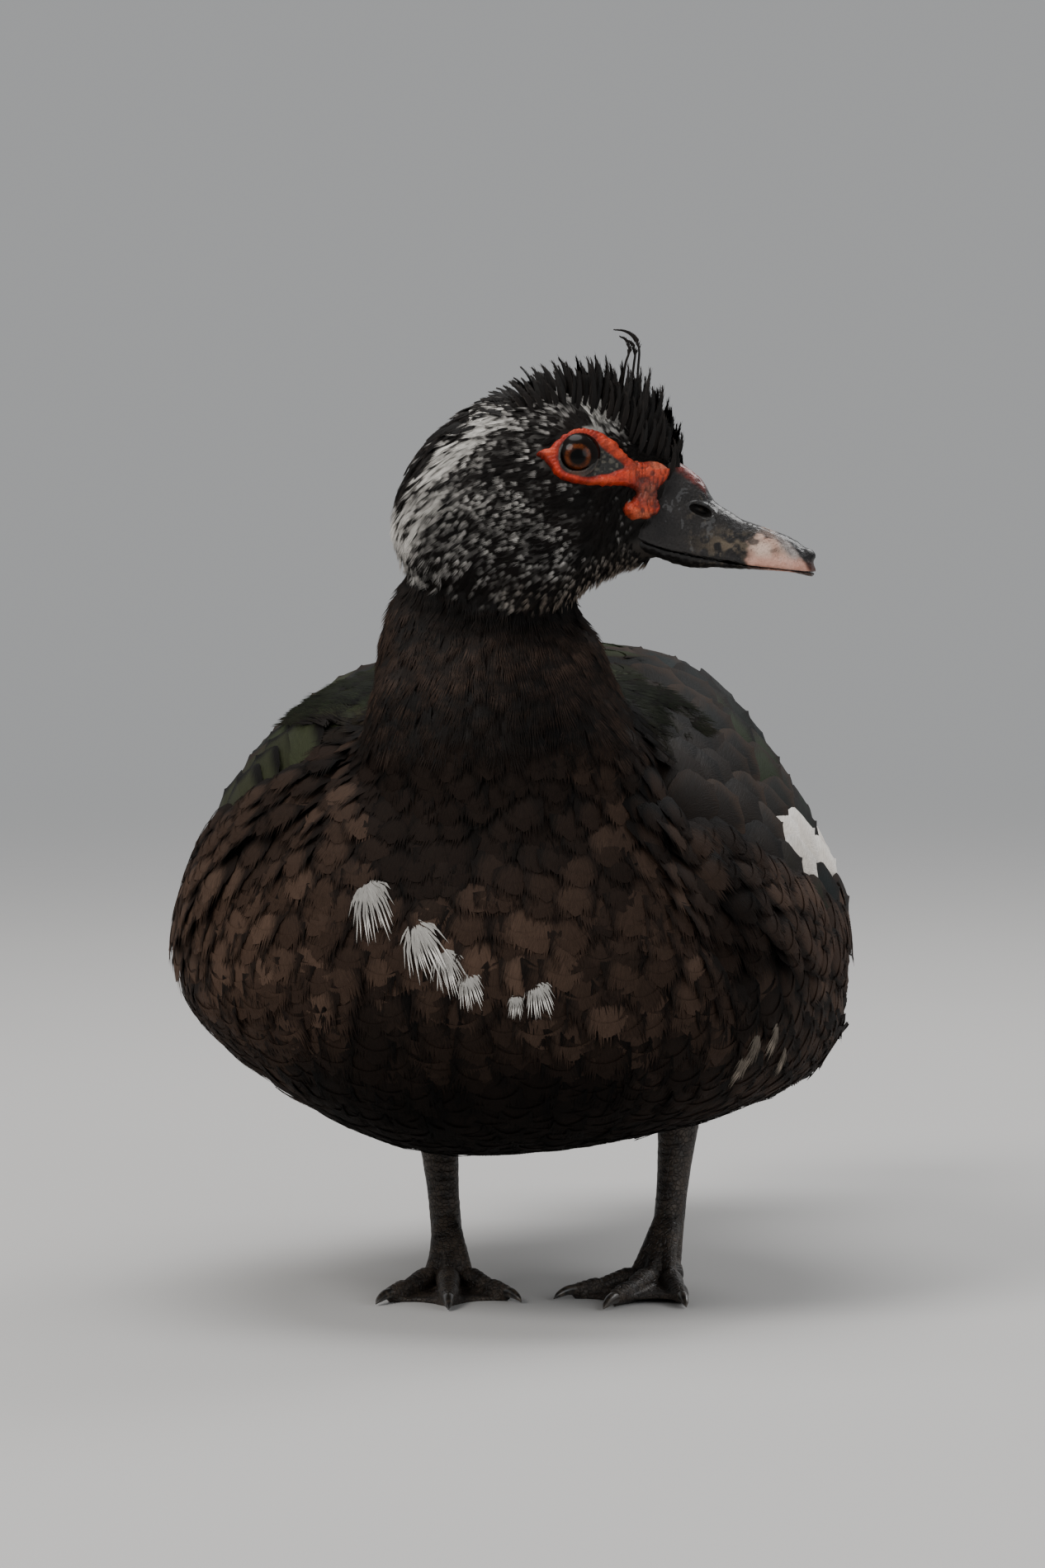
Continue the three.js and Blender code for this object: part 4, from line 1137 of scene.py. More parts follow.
def plate(rows, columns, profile, thick, camber, ragged, rng, reach=1.0, roundness=0.0):
    """A thin closed vane with a raised shaft: half widths by profile(along), and a ragged edge."""
    points = []
    for side in (1, 0):
        for i in range(rows):
            along = i / (rows - 1)
            for j in range(columns):
                across = 2 * j / (columns - 1) - 1
                shaft = 0.6 * thick if abs(across) < 0.01 else 0
                height = -camber * across * across + side * (thick * (1 - 0.7 * abs(across)) + shaft)
                end = roundness * along * (1 - across * across) * (i == rows - 1)
                points.append([along * reach + end, across * profile(along), height])
    points = np.array(points)
    edge = rng.uniform(1 - ragged, 1, (rows, 2))
    jag = rng.uniform(-0.35 * ragged, 0.1 * ragged, columns)
    for side in range(2):
        block = points[side * rows * columns:(side + 1) * rows * columns].reshape(rows, columns, 3)
        block[:, 0, 1] *= edge[:, 0]
        block[:, -1, 1] *= edge[:, 1]
        block[-1, :, 0] += jag
    faces = []
    low = rows * columns

    def index(i, j):
        return i * columns + j

    for i in range(rows - 1):
        for j in range(columns - 1):
            a, b, c, d = index(i, j), index(i, j + 1), index(i + 1, j + 1), index(i + 1, j)
            faces += [[a, c, b], [a, d, c], [a + low, b + low, c + low], [a + low, c + low, d + low]]
    rim = [index(0, j) for j in range(columns)]
    rim += [index(i, columns - 1) for i in range(1, rows)]
    rim += [index(rows - 1, j) for j in range(columns - 2, -1, -1)]
    rim += [index(i, 0) for i in range(rows - 2, 0, -1)]
    for a, b in zip(rim, rim[1:] + rim[:1]):
        faces += [[a, b, a + low], [b, b + low, a + low]]
    return points.tolist(), faces


def fan_shape(seed, strands):
    """A fan of fine pointed barbs, closer together towards its root."""
    rng = np.random.default_rng(seed)
    parts = []
    for i in range(strands):
        side = 2 * (i + 0.5) / strands - 1
        inner = 0.5 if i % 2 else 1.0
        reach = (1 - 0.4 * side * side) * rng.uniform(0.66, 1.02) * inner
        tip = [reach, side * (0.95 if inner == 1 else 0.75) + rng.uniform(-0.12, 0.12)]
        at = [0.06 * (1 - side * side), side * 0.2]
        wide = 0.04 if inner == 1 else 0.06
        parts.append(strand(at, tip, rng.uniform(-0.06, 0.06) + 0.12 * side, wide, 0.06, 0.05 * (i % 3)))
    return Shape(parts)


def brush_shape(seed, hairs, spread, wide):
    """A tiny brush-like feather of straight pointed barbs."""
    rng = np.random.default_rng(seed)
    parts = []
    for i in range(hairs):
        side = 2 * (i + 0.5) / hairs - 1
        tip = [1 - 0.2 * side ** 2 + rng.uniform(-0.16, 0.06), side * spread + rng.uniform(-0.1, 0.1)]
        at = [rng.uniform(0, 0.12), side * 0.4 * spread]
        parts.append(hair(at, tip, wide, 0.3, 0.1 * (i % 2)))
    return Shape(parts)


def contour_shape(seed):
    """A soft rounded feather: a domed vane whose end runs out in fine hairs."""
    rng = np.random.default_rng(seed)

    def profile(along):
        start = 0.42 + 0.58 * math.sin(min(along * 2.1, 1) * math.pi / 2)
        end = max(0.0, (along - 0.42) / 0.5)
        return start * (1 - 0.4 * end * end)

    reach = 0.66  # where the vane ends and the hairs begin
    hairs = 26
    parts = [plate(4, 5, profile, 0.02, 0.05, 0.16, rng, reach, 0.16)]
    for i in range(hairs):
        side = 2 * (i + 0.5) / hairs - 1
        turn = side * 1.35
        at = [reach * (0.56 + 0.36 * math.cos(turn)), 0.8 * math.sin(turn)]
        out = 0.42 * rng.uniform(0.45, 1.15)
        tip_along = at[0] + out * (0.62 + 0.4 * math.cos(turn))
        tip = [tip_along, at[1] * (1 + 0.25 * out) + rng.uniform(-0.08, 0.08)]
        level = -0.05 * at[1] * at[1] + 0.01
        parts.append(hair(at, tip, rng.uniform(0.04, 0.075), 0.02, level))
    return Shape(parts)


def vane_shape(seed, point, ragged):
    """A firm wing or tail feather, with its tip rounded by point."""
    rng = np.random.default_rng(seed)

    def profile(along):
        start = 0.45 + 0.55 * math.sin(min(along * 2.2, 1) * math.pi / 2)
        end = max(0.0, (along - 0.62) / 0.38)
        return start * math.sqrt(max(0.02, 1 - end ** (1.6 + point)))

    return Shape([plate(13, 9, profile, 0.05, 0.09, ragged, rng)])


def blade_shape(seed):
    """A slender pointed crest feather, folded along its shaft, with loose barbs towards its end."""
    rng = np.random.default_rng(seed)

    def profile(along):
        start = 0.45 + 0.55 * math.sin(min(1, along * 2.4) * math.pi / 2)
        return start - 0.88 * smoothstep(along, 0.35, 1.08)

    parts = [plate(7, 3, profile, 0.1, 0.3, 0.12, rng, 0.96, 0.03)]
    for k in range(7):
        side = (-1) ** k * rng.uniform(0.25, 0.6)
        along = 0.4 + 0.075 * k
        at = [along, side * profile(along)]
        tip = [along + rng.uniform(0.14, 0.24), side * rng.uniform(1.3, 2.1)]
        parts.append(hair(at, tip, 0.12, 0.08, -0.3 * side * side))
    return Shape(parts)


# Coats: feathers set on the skin


def built(points, faces):
    """A mesh from arrays of points and triangles."""
    mesh = bpy.data.meshes.new("feathers")
    mesh.vertices.add(len(points))
    mesh.vertices.foreach_set("co", points.astype(np.float32).ravel())
    mesh.loops.add(faces.size)
    mesh.loops.foreach_set("vertex_index", faces.astype(np.int32).ravel())
    mesh.polygons.add(len(faces))
    mesh.polygons.foreach_set("loop_start", np.arange(0, faces.size, 3, dtype=np.int32))
    mesh.update(calc_edges=True)
    return mesh


PATCH = 0.003  # each feather's share of the baked map
DOME = 0.35  # how far a feather's shading bends round its shaft
BARB_SLANT = 0.3  # slant of the fine barbs, and the width and length of their streaks
BARB_WIDTH = 0.42
BARB_LENGTH = 5
NEIGHBOURS = list(itertools.product((-1, 0, 1), repeat=3))


def round_share(up, side):
    """The angle about an axis, as a share of the whole turn."""
    return np.arctan2(up, side) / (2 * math.pi) + 0.5


def unwrapped(points):
    """Each root's place on an unwrap of the skin: trunk, neck and head side by side, opened as cylinders."""
    x, y, z = points.T
    ahead, aside, level = to_head(points).T
    on_the_head = z > HEAD_ROOT
    on_the_neck = (z > NECK_ROOT) & (y < 0) & ~on_the_head
    from_front = from_breast(y)
    u = 0.01 + 0.56 * round_share(z - trunk_wide(from_front), x)
    v = np.clip(from_front / math.sqrt(BODY_LENGTH), 0, 1)
    u = np.where(on_the_neck, 0.6 + 0.17 * round_share(y + 60, x - 6), u)
    v = np.where(on_the_neck, (z - NECK_ROOT) / 60, v)
    u = np.where(on_the_head, 0.79 + 0.2 * round_share(level + 18, aside), u)
    v = np.where(on_the_head, np.clip((ahead + 64) / 100, 0, 1), v)
    return np.stack([u, np.clip(0.02 + 0.95 * v, 0.01, 0.985)], axis=-1)


def bent(shape, spine, out, half, rolls, high):
    """A shape's points laid along each spine, with the way ahead, to the side and up at each point."""
    s, c, h = (column[None, :, None] for column in shape.points.T)
    root, middle, tip = (spine[:, k][:, None, :] for k in range(3))
    line = root * (1 - s) * (1 - 2 * s) + middle * 4 * s * (1 - s) + tip * s * (2 * s - 1)
    along = unit(root * (4 * s - 3) + middle * 4 * (1 - 2 * s) + tip * (4 * s - 1))
    side = unit(np.cross(out[:, None, :], along))
    up = np.cross(along, side)
    roll = rolls[:, None, None]
    side, up = side * np.cos(roll) + up * np.sin(roll), up * np.cos(roll) - side * np.sin(roll)
    wide = half[:, None, None]
    return line + side * wide * c + up * wide * high * h, along, side, up


def coat(
    name, shapes, spine, out, half, colours, seed, material, slot, nodes=(), high=1.0, gloss=None, twist=0.0
):
    """One piece of the coat: a feather along each spine of three points, in one of the shapes, with a base
    and a second colour each."""
    rng = np.random.default_rng(seed)
    count = len(spine)
    draws = rng.random(count)
    kinds = rng.integers(0, len(shapes), count)
    rolls = rng.normal(0, 1, count) * twist
    homes = unwrapped(spine[:, 0])
    length = np.linalg.norm(np.diff(spine, axis=1), axis=2).sum(axis=1)
    gloss = np.zeros(count) if gloss is None else gloss
    base, second = colours
    faces = []
    rows = {}
    start = 0
    for kind, shape in enumerate(shapes):
        which = np.flatnonzero(kinds == kind)
        if not len(which):
            continue
        points, ahead, side, up = bent(shape, spine[which], out[which], half[which], rolls[which], high)
        number, corners = points.shape[:2]
        steps = start + np.arange(number) * corners
        faces.append((shape.faces[None] + steps[:, None, None]).reshape(-1, 3))
        start += number * corners
        spread = np.ones((number, corners))
        s, c, _ = shape.points.T
        edge_to_edge = np.clip(c, -1, 1)
        run = s * length[which][:, None]
        off = np.abs(c) * half[which][:, None]
        bend = side * edge_to_edge[None, :, None] * DOME + ahead * (s[None, :, None] - 0.45) * DOME
        offset = np.stack([edge_to_edge * 0.5, np.clip(s, 0, 1) - 0.5], axis=-1) * PATCH
        streak = 60 * draws[which][:, None] + 3 * np.sign(c)
        values = {
            "points": points,
            "along": s * spread,
            "across": c * spread,
            "draw": draws[which][:, None] * spread,
            "gloss": gloss[which][:, None] * spread,
            "colour": base[which][:, None, :] * spread[..., None],
            "second": second[which][:, None, :] * spread[..., None],
            "barb": np.stack([(off - BARB_SLANT * run) / BARB_WIDTH, run / BARB_LENGTH, streak], axis=-1),
            "uv": homes[which][:, None, :] + offset,
            "normal": unit(unit(out[which])[:, None, :] * 0.55 + up * 0.45 + bend),
        }
        for key, value in values.items():
            rows.setdefault(key, []).append(value.reshape(number * corners, -1))
    arrays = {key: np.concatenate(value) for key, value in rows.items()}
    faces = np.concatenate(faces)
    mesh = built(arrays["points"], faces)
    for key in ("along", "across", "draw", "gloss"):
        give(mesh, key, arrays[key].ravel())
    give(mesh, "colour", arrays["colour"])
    give(mesh, "second", arrays["second"])
    give(mesh, "barb", arrays["barb"], False)
    layer = mesh.uv_layers.new(name="OFBake")
    layer.uv.foreach_set("vector", arrays["uv"][faces.ravel()].astype(np.float32).ravel())
    made = piece(name, mesh, material, slot, *nodes)
    made.data.normals_split_custom_set_from_vertices(arrays["normal"])


def laid(lie, normals):
    """Directions laid along a surface."""
    return unit(lie - normals * (lie * normals).sum(1, keepdims=True))


def swung(lie, normals, angle):
    """Directions turned about their normals by an angle each."""
    angle = angle[:, None]
    return lie * np.cos(angle) + np.cross(normals, lie) * np.sin(angle)


def crowded(kept, cell, point, reach):
    """Whether a kept point lies nearer than reach, in one of the cells about a point's own."""
    x, y, z = cell
    limit = reach ** 2
    for dx, dy, dz in NEIGHBOURS:
        for other in kept.get((x + dx, y + dy, z + dz), ()):
            if (point[0] - other[0]) ** 2 + (point[1] - other[1]) ** 2 + (point[2] - other[2]) ** 2 < limit:
                return True
    return False


class Skin:
    """A mesh to set feathers on."""

    def __init__(self, mesh):
        mesh.calc_loop_triangles()
        self.points = points_of(mesh)
        self.normals = normals_of(mesh)
        corners = np.empty(len(mesh.loop_triangles) * 3, np.int32)
        mesh.loop_triangles.foreach_get("vertices", corners)
        self.faces = corners.reshape(-1, 3)
        self.tree = BVHTree.FromPolygons(self.points.tolist(), self.faces.tolist())
        a, b, c = (self.points[self.faces[:, k]] for k in range(3))
        self.areas = np.linalg.norm(np.cross(b - a, c - a), axis=1) / 2

    def draw(self, rng, count):
        """Random points of the surface, with their normals."""
        face = rng.choice(len(self.faces), count, p=self.areas / self.areas.sum())
        weights = rng.dirichlet((1, 1, 1), count)[:, :, None]
        corners = self.faces[face]
        return (self.points[corners] * weights).sum(1), unit((self.normals[corners] * weights).sum(1))

    def nearest(self, points):
        """The closest points of the surface, with their normals."""
        found = [self.tree.find_nearest(Vector(point)) for point in points]
        at = np.array([hit[0] for hit in found])
        normals = self.normals[self.faces[[hit[2] for hit in found]]].mean(axis=1)
        return at, unit(normals)

    def seen(self, x, y):
        """The point of the surface that shows at a pixel of the photograph, with its normal."""
        across = (x - PHOTO_WIDTH / 2) / PIXELS_PER_MM
        level = (PHOTO_HEIGHT / 2 - y) / PIXELS_PER_MM
        lens = VIEW_TARGET + VIEW_BACK * VIEW_DISTANCE
        aim = unit(VIEW_TARGET + VIEW_RIGHT * across + np.cross(VIEW_BACK, VIEW_RIGHT) * level - lens)
        at, normal, _, _ = self.tree.ray_cast(Vector(lens), Vector(aim))
        return np.array(at), np.array(normal)

    def scatter(self, seed, count, spacing):
        """Roots spread evenly, as far apart as spacing(points) says, and none where it says 0."""
        points, normals = self.draw(np.random.default_rng(seed), count)
        reach = spacing(points)
        cells = np.floor(points / reach.max()).astype(int)
        kept = {}
        chosen = []
        for i in np.flatnonzero(reach > 0):
            cell = tuple(cells[i])
            if not crowded(kept, cell, points[i], reach[i]):
                kept.setdefault(cell, []).append(points[i])
                chosen.append(i)
        return points[chosen], normals[chosen]

    def spines(self, roots, normals, lie, length, lifts):
        """A feather's three points from each root along its lie, with a lift off the skin for each."""
        middle, middle_out = self.nearest(roots + laid(lie, normals) * length[:, None] / 2)
        ahead = laid(middle - roots, middle_out)
        end, end_out = self.nearest(middle + ahead * length[:, None] / 2)
        rows = zip((roots, middle, end), (normals, middle_out, end_out), lifts)
        spine = np.stack([at + out * np.asarray(lift)[:, None] for at, out, lift in rows], axis=1)
        return spine, middle_out


# Markings, which skin and coat share


def body_colour(points, draw):
    """Edge and centre colours of the body's feathers by their place: nearly black down the middle of the
    breast, browner on the flanks and high on the neck, and green between the shoulders, with painted shade
    that darkens the underside and the furrow between breast and flank."""
    x, y, z = points.T
    blotch = grain(points, 30, 1)
    streak = grain(points, 11, 2)
    aside = np.abs(x - 8)
    neckness = smoothstep(z, NECK_ROOT, 222) * (y < 20)
    flank = smoothstep(aside, 46, 92)
    band = bell(z, 143, 20) * (y < 0)
    brown = 0.12 + 0.5 * flank + 0.4 * neckness + 0.24 * band
    brown = brown + 1.0 * (blotch - 0.5) + 0.45 * (draw - 0.5) + 0.3 * (streak - 0.5)
    middle = hump(z, 152, 172, 205, 232) * (y < 0)
    brown = brown - 0.4 * middle * smoothstep(aside, 46, 18)
    # painted shade: the feathers low on the body and in the furrow between breast and flank are darkened
    below = smoothstep(z, 128, 92) * (1 - 0.55 * flank)
    furrow = np.clip(breast_folds(points)[0], 0, 1)
    brown = np.clip(brown, 0, 1) * (1 - 0.92 * below) * (1 - 0.8 * furrow)
    edge = tinted(INK, DARK_BROWN, np.clip(brown + streak - 0.25, 0, 1))
    centre = tinted(DARK_BROWN, BROWN, brown)
    centre = washed(centre, PALE_BROWN, np.clip(draw * 1.8 - 1.2, 0, 1) * brown * (1 - neckness))
    mantle = smoothstep(z, 184, 200) * smoothstep(y, -58, -34)
    green = np.asarray(GREEN) * (0.3 + 0.5 * smoothstep(blotch + 0.4 * (draw - 0.5), 0.4, 0.7))[:, None]
    centre = washed(centre, green, 0.85 * mantle)
    # more painted shade in the furrow and on the underside
    dark = ((1 - 0.5 * furrow) * (1 - 0.6 * below))[:, None]
    return edge * dark, centre * dark


def head_white(local):
    """How white the feathers' ends are over the head, by its own frame."""
    ahead, _, level = local.T
    off = level - looked_up(HEAD_STREAK, ahead) + 3 * (grain(local, 9, 4) - 0.5)
    streak = 1.3 * bell(off, 0, 5.2, 4) * smoothstep(ahead, -17, -24)
    streak = streak * smoothstep(grain(local, 3.5, 33), 0.24, 0.42)
    trail = bell(off, -11, 7) * smoothstep(ahead, -32, -46) * smoothstep(grain(local, 5, 34), 0.36, 0.56)
    patches = 0.65 * grain(local, 7.5, 3) + 0.35 * grain(local * [1, 1, 0.5], 2.6, 29)
    near_bill = smoothstep(ahead, -2, 6) * smoothstep(level, -5, -11)
    below_eye = bell(ahead, -3, 8) * bell(level, -17, 5)
    ear = bell(ahead, -20, 7) * bell(level, -1, 5)
    cheek = smoothstep(off, 2, -4) * smoothstep(ahead, 7, -3) * (0.15 + 0.5 * smoothstep(patches, 0.4, 0.57))
    cheek = cheek * (1 - near_bill) * (1 - 0.8 * below_eye) * (1 - 0.8 * ear)
    brow = hump(ahead, -17, -8, 16, 20) * hump(level, 4, 9, 18, 23)
    brow = brow * (0.45 + 0.4 * smoothstep(ahead, -3, 3)) * smoothstep(patches, 0.3, 0.46)
    throat = smoothstep(level - ruff_level(ahead), 16, 5) * smoothstep(ahead, -30, -6)
    throat = 0.5 * throat * smoothstep(patches, 0.25, 0.5)
    return np.clip(np.max([streak, trail, cheek, brow, throat], axis=0), 0, 1)


def head_colour(local, draw):
    """Base and end colours of the head's feathers."""
    ahead, _, level = local.T
    above = level - ruff_level(ahead)
    white = head_white(local)
    shows = smoothstep(white + 0.65 * (draw - 0.5), 0.17, 0.38)
    bright = np.clip(white * 1.6 - 0.6 + 0.35 * (draw - 0.5), 0, 1) ** 1.2
    root = tinted(INK, DARK_BROWN, 0.5 * grain(local, 6, 5))
    clump = blend(0.75 + 0.7 * smoothstep(grain(local, 5.5, 36), 0.4, 0.62), 1, bright)
    pale = tinted(GREY_WHITE, WHITE, bright) * (clump * (0.8 + 0.2 * np.sin(40 * draw)))[:, None]
    throat = smoothstep(above, 16, 4) * smoothstep(ahead, -36, -10)
    pale = washed(pale, np.asarray(THROAT) * (0.6 + draw)[:, None], throat)
    # painted shade: the lowest feathers of the head, along its overhanging edge, are darkened
    under = smoothstep(above, 0.5, 3.5)[:, None]
    solid = 0.75 * smoothstep(bright, 0.45, 0.9)[:, None]
    start = root * (0.4 + 0.6 * under) * (1 - solid) + pale * solid
    return start, washed(root, pale, shows) * (0.25 + 0.75 * under)


# The skin


def thigh(leg):
    """A thigh, from the hip to the joint over the shank."""
    joint = np.array(leg["ankle"], float)
    return rod([leg["hip"], joint + [0, 0, 8], joint + [0, -1, 1]], [23, 16, 8.5], 28, 12)


def skin_mesh():
    """Trunk, neck, head and thighs as one skin, inside the coat."""

    def trunk_place(turn, t):
        return trunk_bare(turn, BREAST_Y + 1.5 + (BODY_LENGTH - 1.5) * t ** 1.5)

    def head_place(turn, t):
        ahead = blend(HEAD[0][0], HEAD[-1][0], (1 - np.cos(math.pi * t)) / 2)
        return from_head(head_bare(turn, ahead))

    front = [0, BREAST_Y, 120]
    parts = [form(72, 48, trunk_place, (front, None)), form(56, 28, neck), form(56, 40, head_place)]
    mesh = fused(parts + [thigh(leg) for leg in LEGS.values()], 2.0, 8)
    points = points_of(mesh)
    local = to_head(points)
    below_ruff = ruff_level(local[:, 0]) + 1 - local[:, 2]
    crease = hump(below_ruff, -1, 3, 6, 17) * smoothstep(points[:, 2], 222, 232)
    furrow, swelling = breast_folds(points)
    upper = smoothstep(points[:, 2], *NECK_COAT_LEVELS) * (points[:, 1] < 60)
    depth = blend(blend(BODY_COAT, NECK_COAT, upper), HEAD_COAT, smoothstep(points[:, 2], 236, 258))
    depth = depth + 3.2 * furrow - 2.0 * swelling + 2.4 * crease
    points = points - normals_of(mesh) * depth[:, None]
    move_points(mesh, points)
    draw = np.full(len(points), 0.5)
    body = blend(*body_colour(points, draw), 0.25)
    plumage = blend(*head_colour(local, draw), 0.15)
    plumage[inside(BARE, local[:, 0], local[:, 2]) & (np.abs(local[:, 1]) > 4)] = UNDER_FACE
    on_the_head = smoothstep(below_ruff, 1, -2) * smoothstep(points[:, 2], 222, 234)
    # painted shade: the skin is darkened in the crease under the head's overhanging feathers, and carries
    # the body's painted shade
    give(mesh, "colour", washed(body, plumage, on_the_head) * (1 - 0.7 * crease)[:, None])
    return mesh


# Face and eyes


def swollen(ahead, level):
    """Each swelling of the bare skin, from 0 to 1 over the skin, with its rise."""
    for x, y, half_length, half_height, rise in SWELLINGS:
        yield bell(ahead, x, half_length) * bell(level, y, half_height), rise


def face_relief(ahead, level, edge, inner):
    """How far the bare skin stands off the head: folds, swellings, the lids' rims and fine wrinkles."""
    flat = np.stack([ahead, 0 * ahead, level], axis=-1)
    r = np.hypot(ahead, level * 1.03)
    turn = np.arctan2(level, ahead)
    red = smoothstep(inner, 0.2, -0.4)
    swell = 1 - (1 - np.clip(np.minimum(edge, np.maximum(-inner, 0)) / 2.4, 0, 1)) ** 2
    lift = 0.1 + 1.15 * swell * red
    for over, rise in swollen(ahead, level):
        lift = lift + rise * over
    spokes = np.sin(turn * 38 + 7 * grain(flat, 5, 20)) * smoothstep(r, 15, 10) * 0.15
    creases = np.abs(grain(flat * [1.5, 1, 0.62], 1.5, 21) - 0.5) * 2
    folds = spokes * red + smoothstep(ahead, 13, 18) * 0.5 * (smoothstep(creases, 0.0, 0.35) - 0.8)
    lift = lift + folds * swell + 0.22 * (grain(flat, 0.75, 22) - 0.5)
    for radius, width, rise in LID_RIMS:
        lift = lift + rise * bell(r, radius, width) * smoothstep(inner, -0.6, 0.2)
    lift = lift + 1.0 * smoothstep(r, 8.4, 5.8)
    return blend(-1.7, lift, smoothstep(edge, 0, 0.8)), red, swell, creases


def face_colour(ahead, level, red, swell, creases):
    """Orange-red folds, duller towards the bill with painted shade in their fine wrinkles there, and dark
    granular skin round the eye with painted highlights along the lids' rims.
    """
    flat = np.stack([ahead, 0 * ahead, level], axis=-1)
    r = np.hypot(ahead, level)
    patch = smoothstep(ahead, 15, 21)
    cloud = grain(flat, 3.2, 23)
    fine = grain(flat, 0.8, 24)
    stain = smoothstep(grain(flat, 1.7, 28), 0.54, 0.72)
    depth = np.clip(0.1 + 0.7 * swell + 1.1 * (cloud - 0.5) + 0.6 * (fine - 0.5), 0, 1)
    reds = tinted(RED_DEEP, RED, depth)
    for over, _ in swollen(ahead, level):
        reds = washed(reds, RED_BRIGHT, 0.45 * over)
    reds = washed(reds, SALMON, 0.6 * patch * smoothstep(cloud, 0.4, 0.65))
    reds = washed(reds, RED_DULL, 0.8 * bell(ahead, 23.5, 4.2) * bell(level, -12, 4.5))
    reds = washed(reds, RED_STAIN, stain * (0.35 + 0.4 * patch))
    # painted shade in the wrinkle valleys towards the bill
    reds = washed(reds, PAINTED_FOLD_SHADE, 0.5 * patch * smoothstep(creases, 0.2, 0.03))
    dark = tinted(SKIN_DARK, SKIN_DOTS, smoothstep(fine, 0.52, 0.75))
    dark = washed(dark, SKIN_AT_EYE, 0.85 * smoothstep(r, 7.4, 6.2))
    # painted highlights along the lids' raised rims
    rims = sum(bell(r, radius, 0.22) for radius in (5.62, 6.9))
    dark = washed(dark, LID_RIM_HIGHLIGHT, 0.6 * np.clip(rims, 0, 1))
    warm = smoothstep(level, -4.2, -5.6) * smoothstep(r, 7.6, 6.6)
    dark = washed(dark, LID_WARM, 0.55 * warm * cloud)
    return washed(dark, reds, red)


def eye_opening(ahead, level):
    """How far out of the eye a place lies, with 1 on the edge of the opening."""
    return np.hypot(ahead / EYE_OPENING[0], level / EYE_OPENING[1])


def face(hand):
    """The bare skin of a side of the face, with an opening for the eye."""
    made = bmesh.new()
    bmesh.ops.create_grid(made, x_segments=FACE_STEPS[0], y_segments=FACE_STEPS[1], size=1)
    for vert in made.verts:
        ahead = blend(*FACE_SPAN[0], (vert.co.x + 1) / 2)
        vert.co = (ahead, 0, blend(*FACE_SPAN[1], (vert.co.y + 1) / 2))
    border = np.array(rounded(BARE))
    border = (border + np.random.default_rng(29).normal(0, FACE_RAGGED, border.shape)).tolist()
    ahead, _, level = np.array([vert.co for vert in made.verts]).T
    kept = (edge_distance(border, ahead, level)[0] > 0.03) & (eye_opening(ahead, level) > 1.01)
    bmesh.ops.delete(made, geom=[vert for vert, keep in zip(made.verts, kept) if not keep], context="VERTS")
    lone = [vert for vert in made.verts if len(vert.link_faces) < 2]
    bmesh.ops.delete(made, geom=lone, context="VERTS")
    ahead, _, level = np.array([vert.co for vert in made.verts]).T
    rim = np.array([vert.is_boundary for vert in made.verts])
    edge, edge_ahead, edge_level = edge_distance(border, ahead, level)
    opening = eye_opening(ahead, level)
    at_eye = rim & (opening < 1.2)
    at_edge = rim & ~at_eye
    ahead = np.where(at_eye, ahead / opening, np.where(at_edge, edge_ahead, ahead))
    level = np.where(at_eye, level / opening, np.where(at_edge, edge_level, level))
    edge = np.where(at_edge, 0, edge)
    inner = edge_distance(rounded(DARK_SKIN), ahead, level)[0]
    lift, red, swell, creases = face_relief(ahead, level, edge, inner)
    colour = face_colour(ahead, level, red, swell, creases)
    turn = turn_at(head_bare, ahead, level)
    at, _ = head(turn if hand > 0 else math.pi - turn, ahead, lift)
    paint = made.verts.layers.float_color.new("colour")
    for vert, place, shade in zip(made.verts, at, colour):
        vert.co = place
        vert[paint] = (*shade, 1)
    axes = {"use_axis_x": True, "use_axis_y": True, "use_axis_z": True}
    bmesh.ops.smooth_vert(made, verts=made.verts, factor=0.25, **axes)
    if hand > 0:
        bmesh.ops.reverse_faces(made, faces=made.faces)
    bmesh.ops.translate(made, verts=second_side(made), vec=(0, -hand * FACE_THICKNESS, 0))
    mesh = joined([outward(made)])
    move_points(mesh, from_head(points_of(mesh)))
    return mesh


def eye(hand):
    """An eyeball, with the reach from its axis for the iris."""
    mesh = joined([ball([0, 0, 0], [EYE_RADIUS] * 3, 64, 48)])
    points = points_of(mesh)
    axis = np.array([math.sin(EYE_AXIS_TILT), 0, math.cos(EYE_AXIS_TILT)])
    facing = unit(points) @ axis
    radius = EYE_RADIUS * np.sqrt(np.clip(1 - facing ** 2, 0, 1))
    radius = np.where(facing > 0, radius, 9.0)
    side = unit(points - (points @ axis)[:, None] * axis)
    give(mesh, "radius", radius)
    give(mesh, "ray", side * 3.0 + (radius * 0.12)[:, None], False)
    outwards = np.array([[1, 0, 0], [0, 0, hand], [0, -hand, 0]])
    move_points(mesh, from_head(points @ outwards.T + [0, hand * EYE_ASIDE, 0]))
    return mesh


# Legs


def foot_aim(leg, hand):
    """Places of a foot by angle, reach and level."""
    at = leg["foot"]

    def aim(angle, reach, level):
        a = math.radians(leg["turn"] + hand * angle)
        return np.array([at[0] + reach * math.sin(a), at[1] - reach * math.cos(a), level])

    return aim


def web(aim, a, b):
    """A web between two toes: a thin pulled skin with a hollow front edge."""
    made = bmesh.new()
    bmesh.ops.create_grid(made, x_segments=11, y_segments=8, size=1)
    home = aim(0, 0, 0)
    for vert in made.verts:
        t = blend(0.08, 0.9, (vert.co.x + 1) / 2)
        u = (vert.co.y + 1) / 2
        level = blend(5.6, 1.6, min(1, t * 1.4))
        sag = 4 * u * (1 - u)
        at = blend(aim(-a["turn"], a["length"] * t, level), aim(-b["turn"], b["length"] * t, level), u)
        at = at + unit(home + [0, 0, at[2]] - at) * 9 * t * t * sag
        vert.co = at - [0, 0, 0.9 * sag * (1 - t)]
    bmesh.ops.solidify(outward(made), geom=made.faces[:], thickness=WEB_THICKNESS)
    return outward(made)


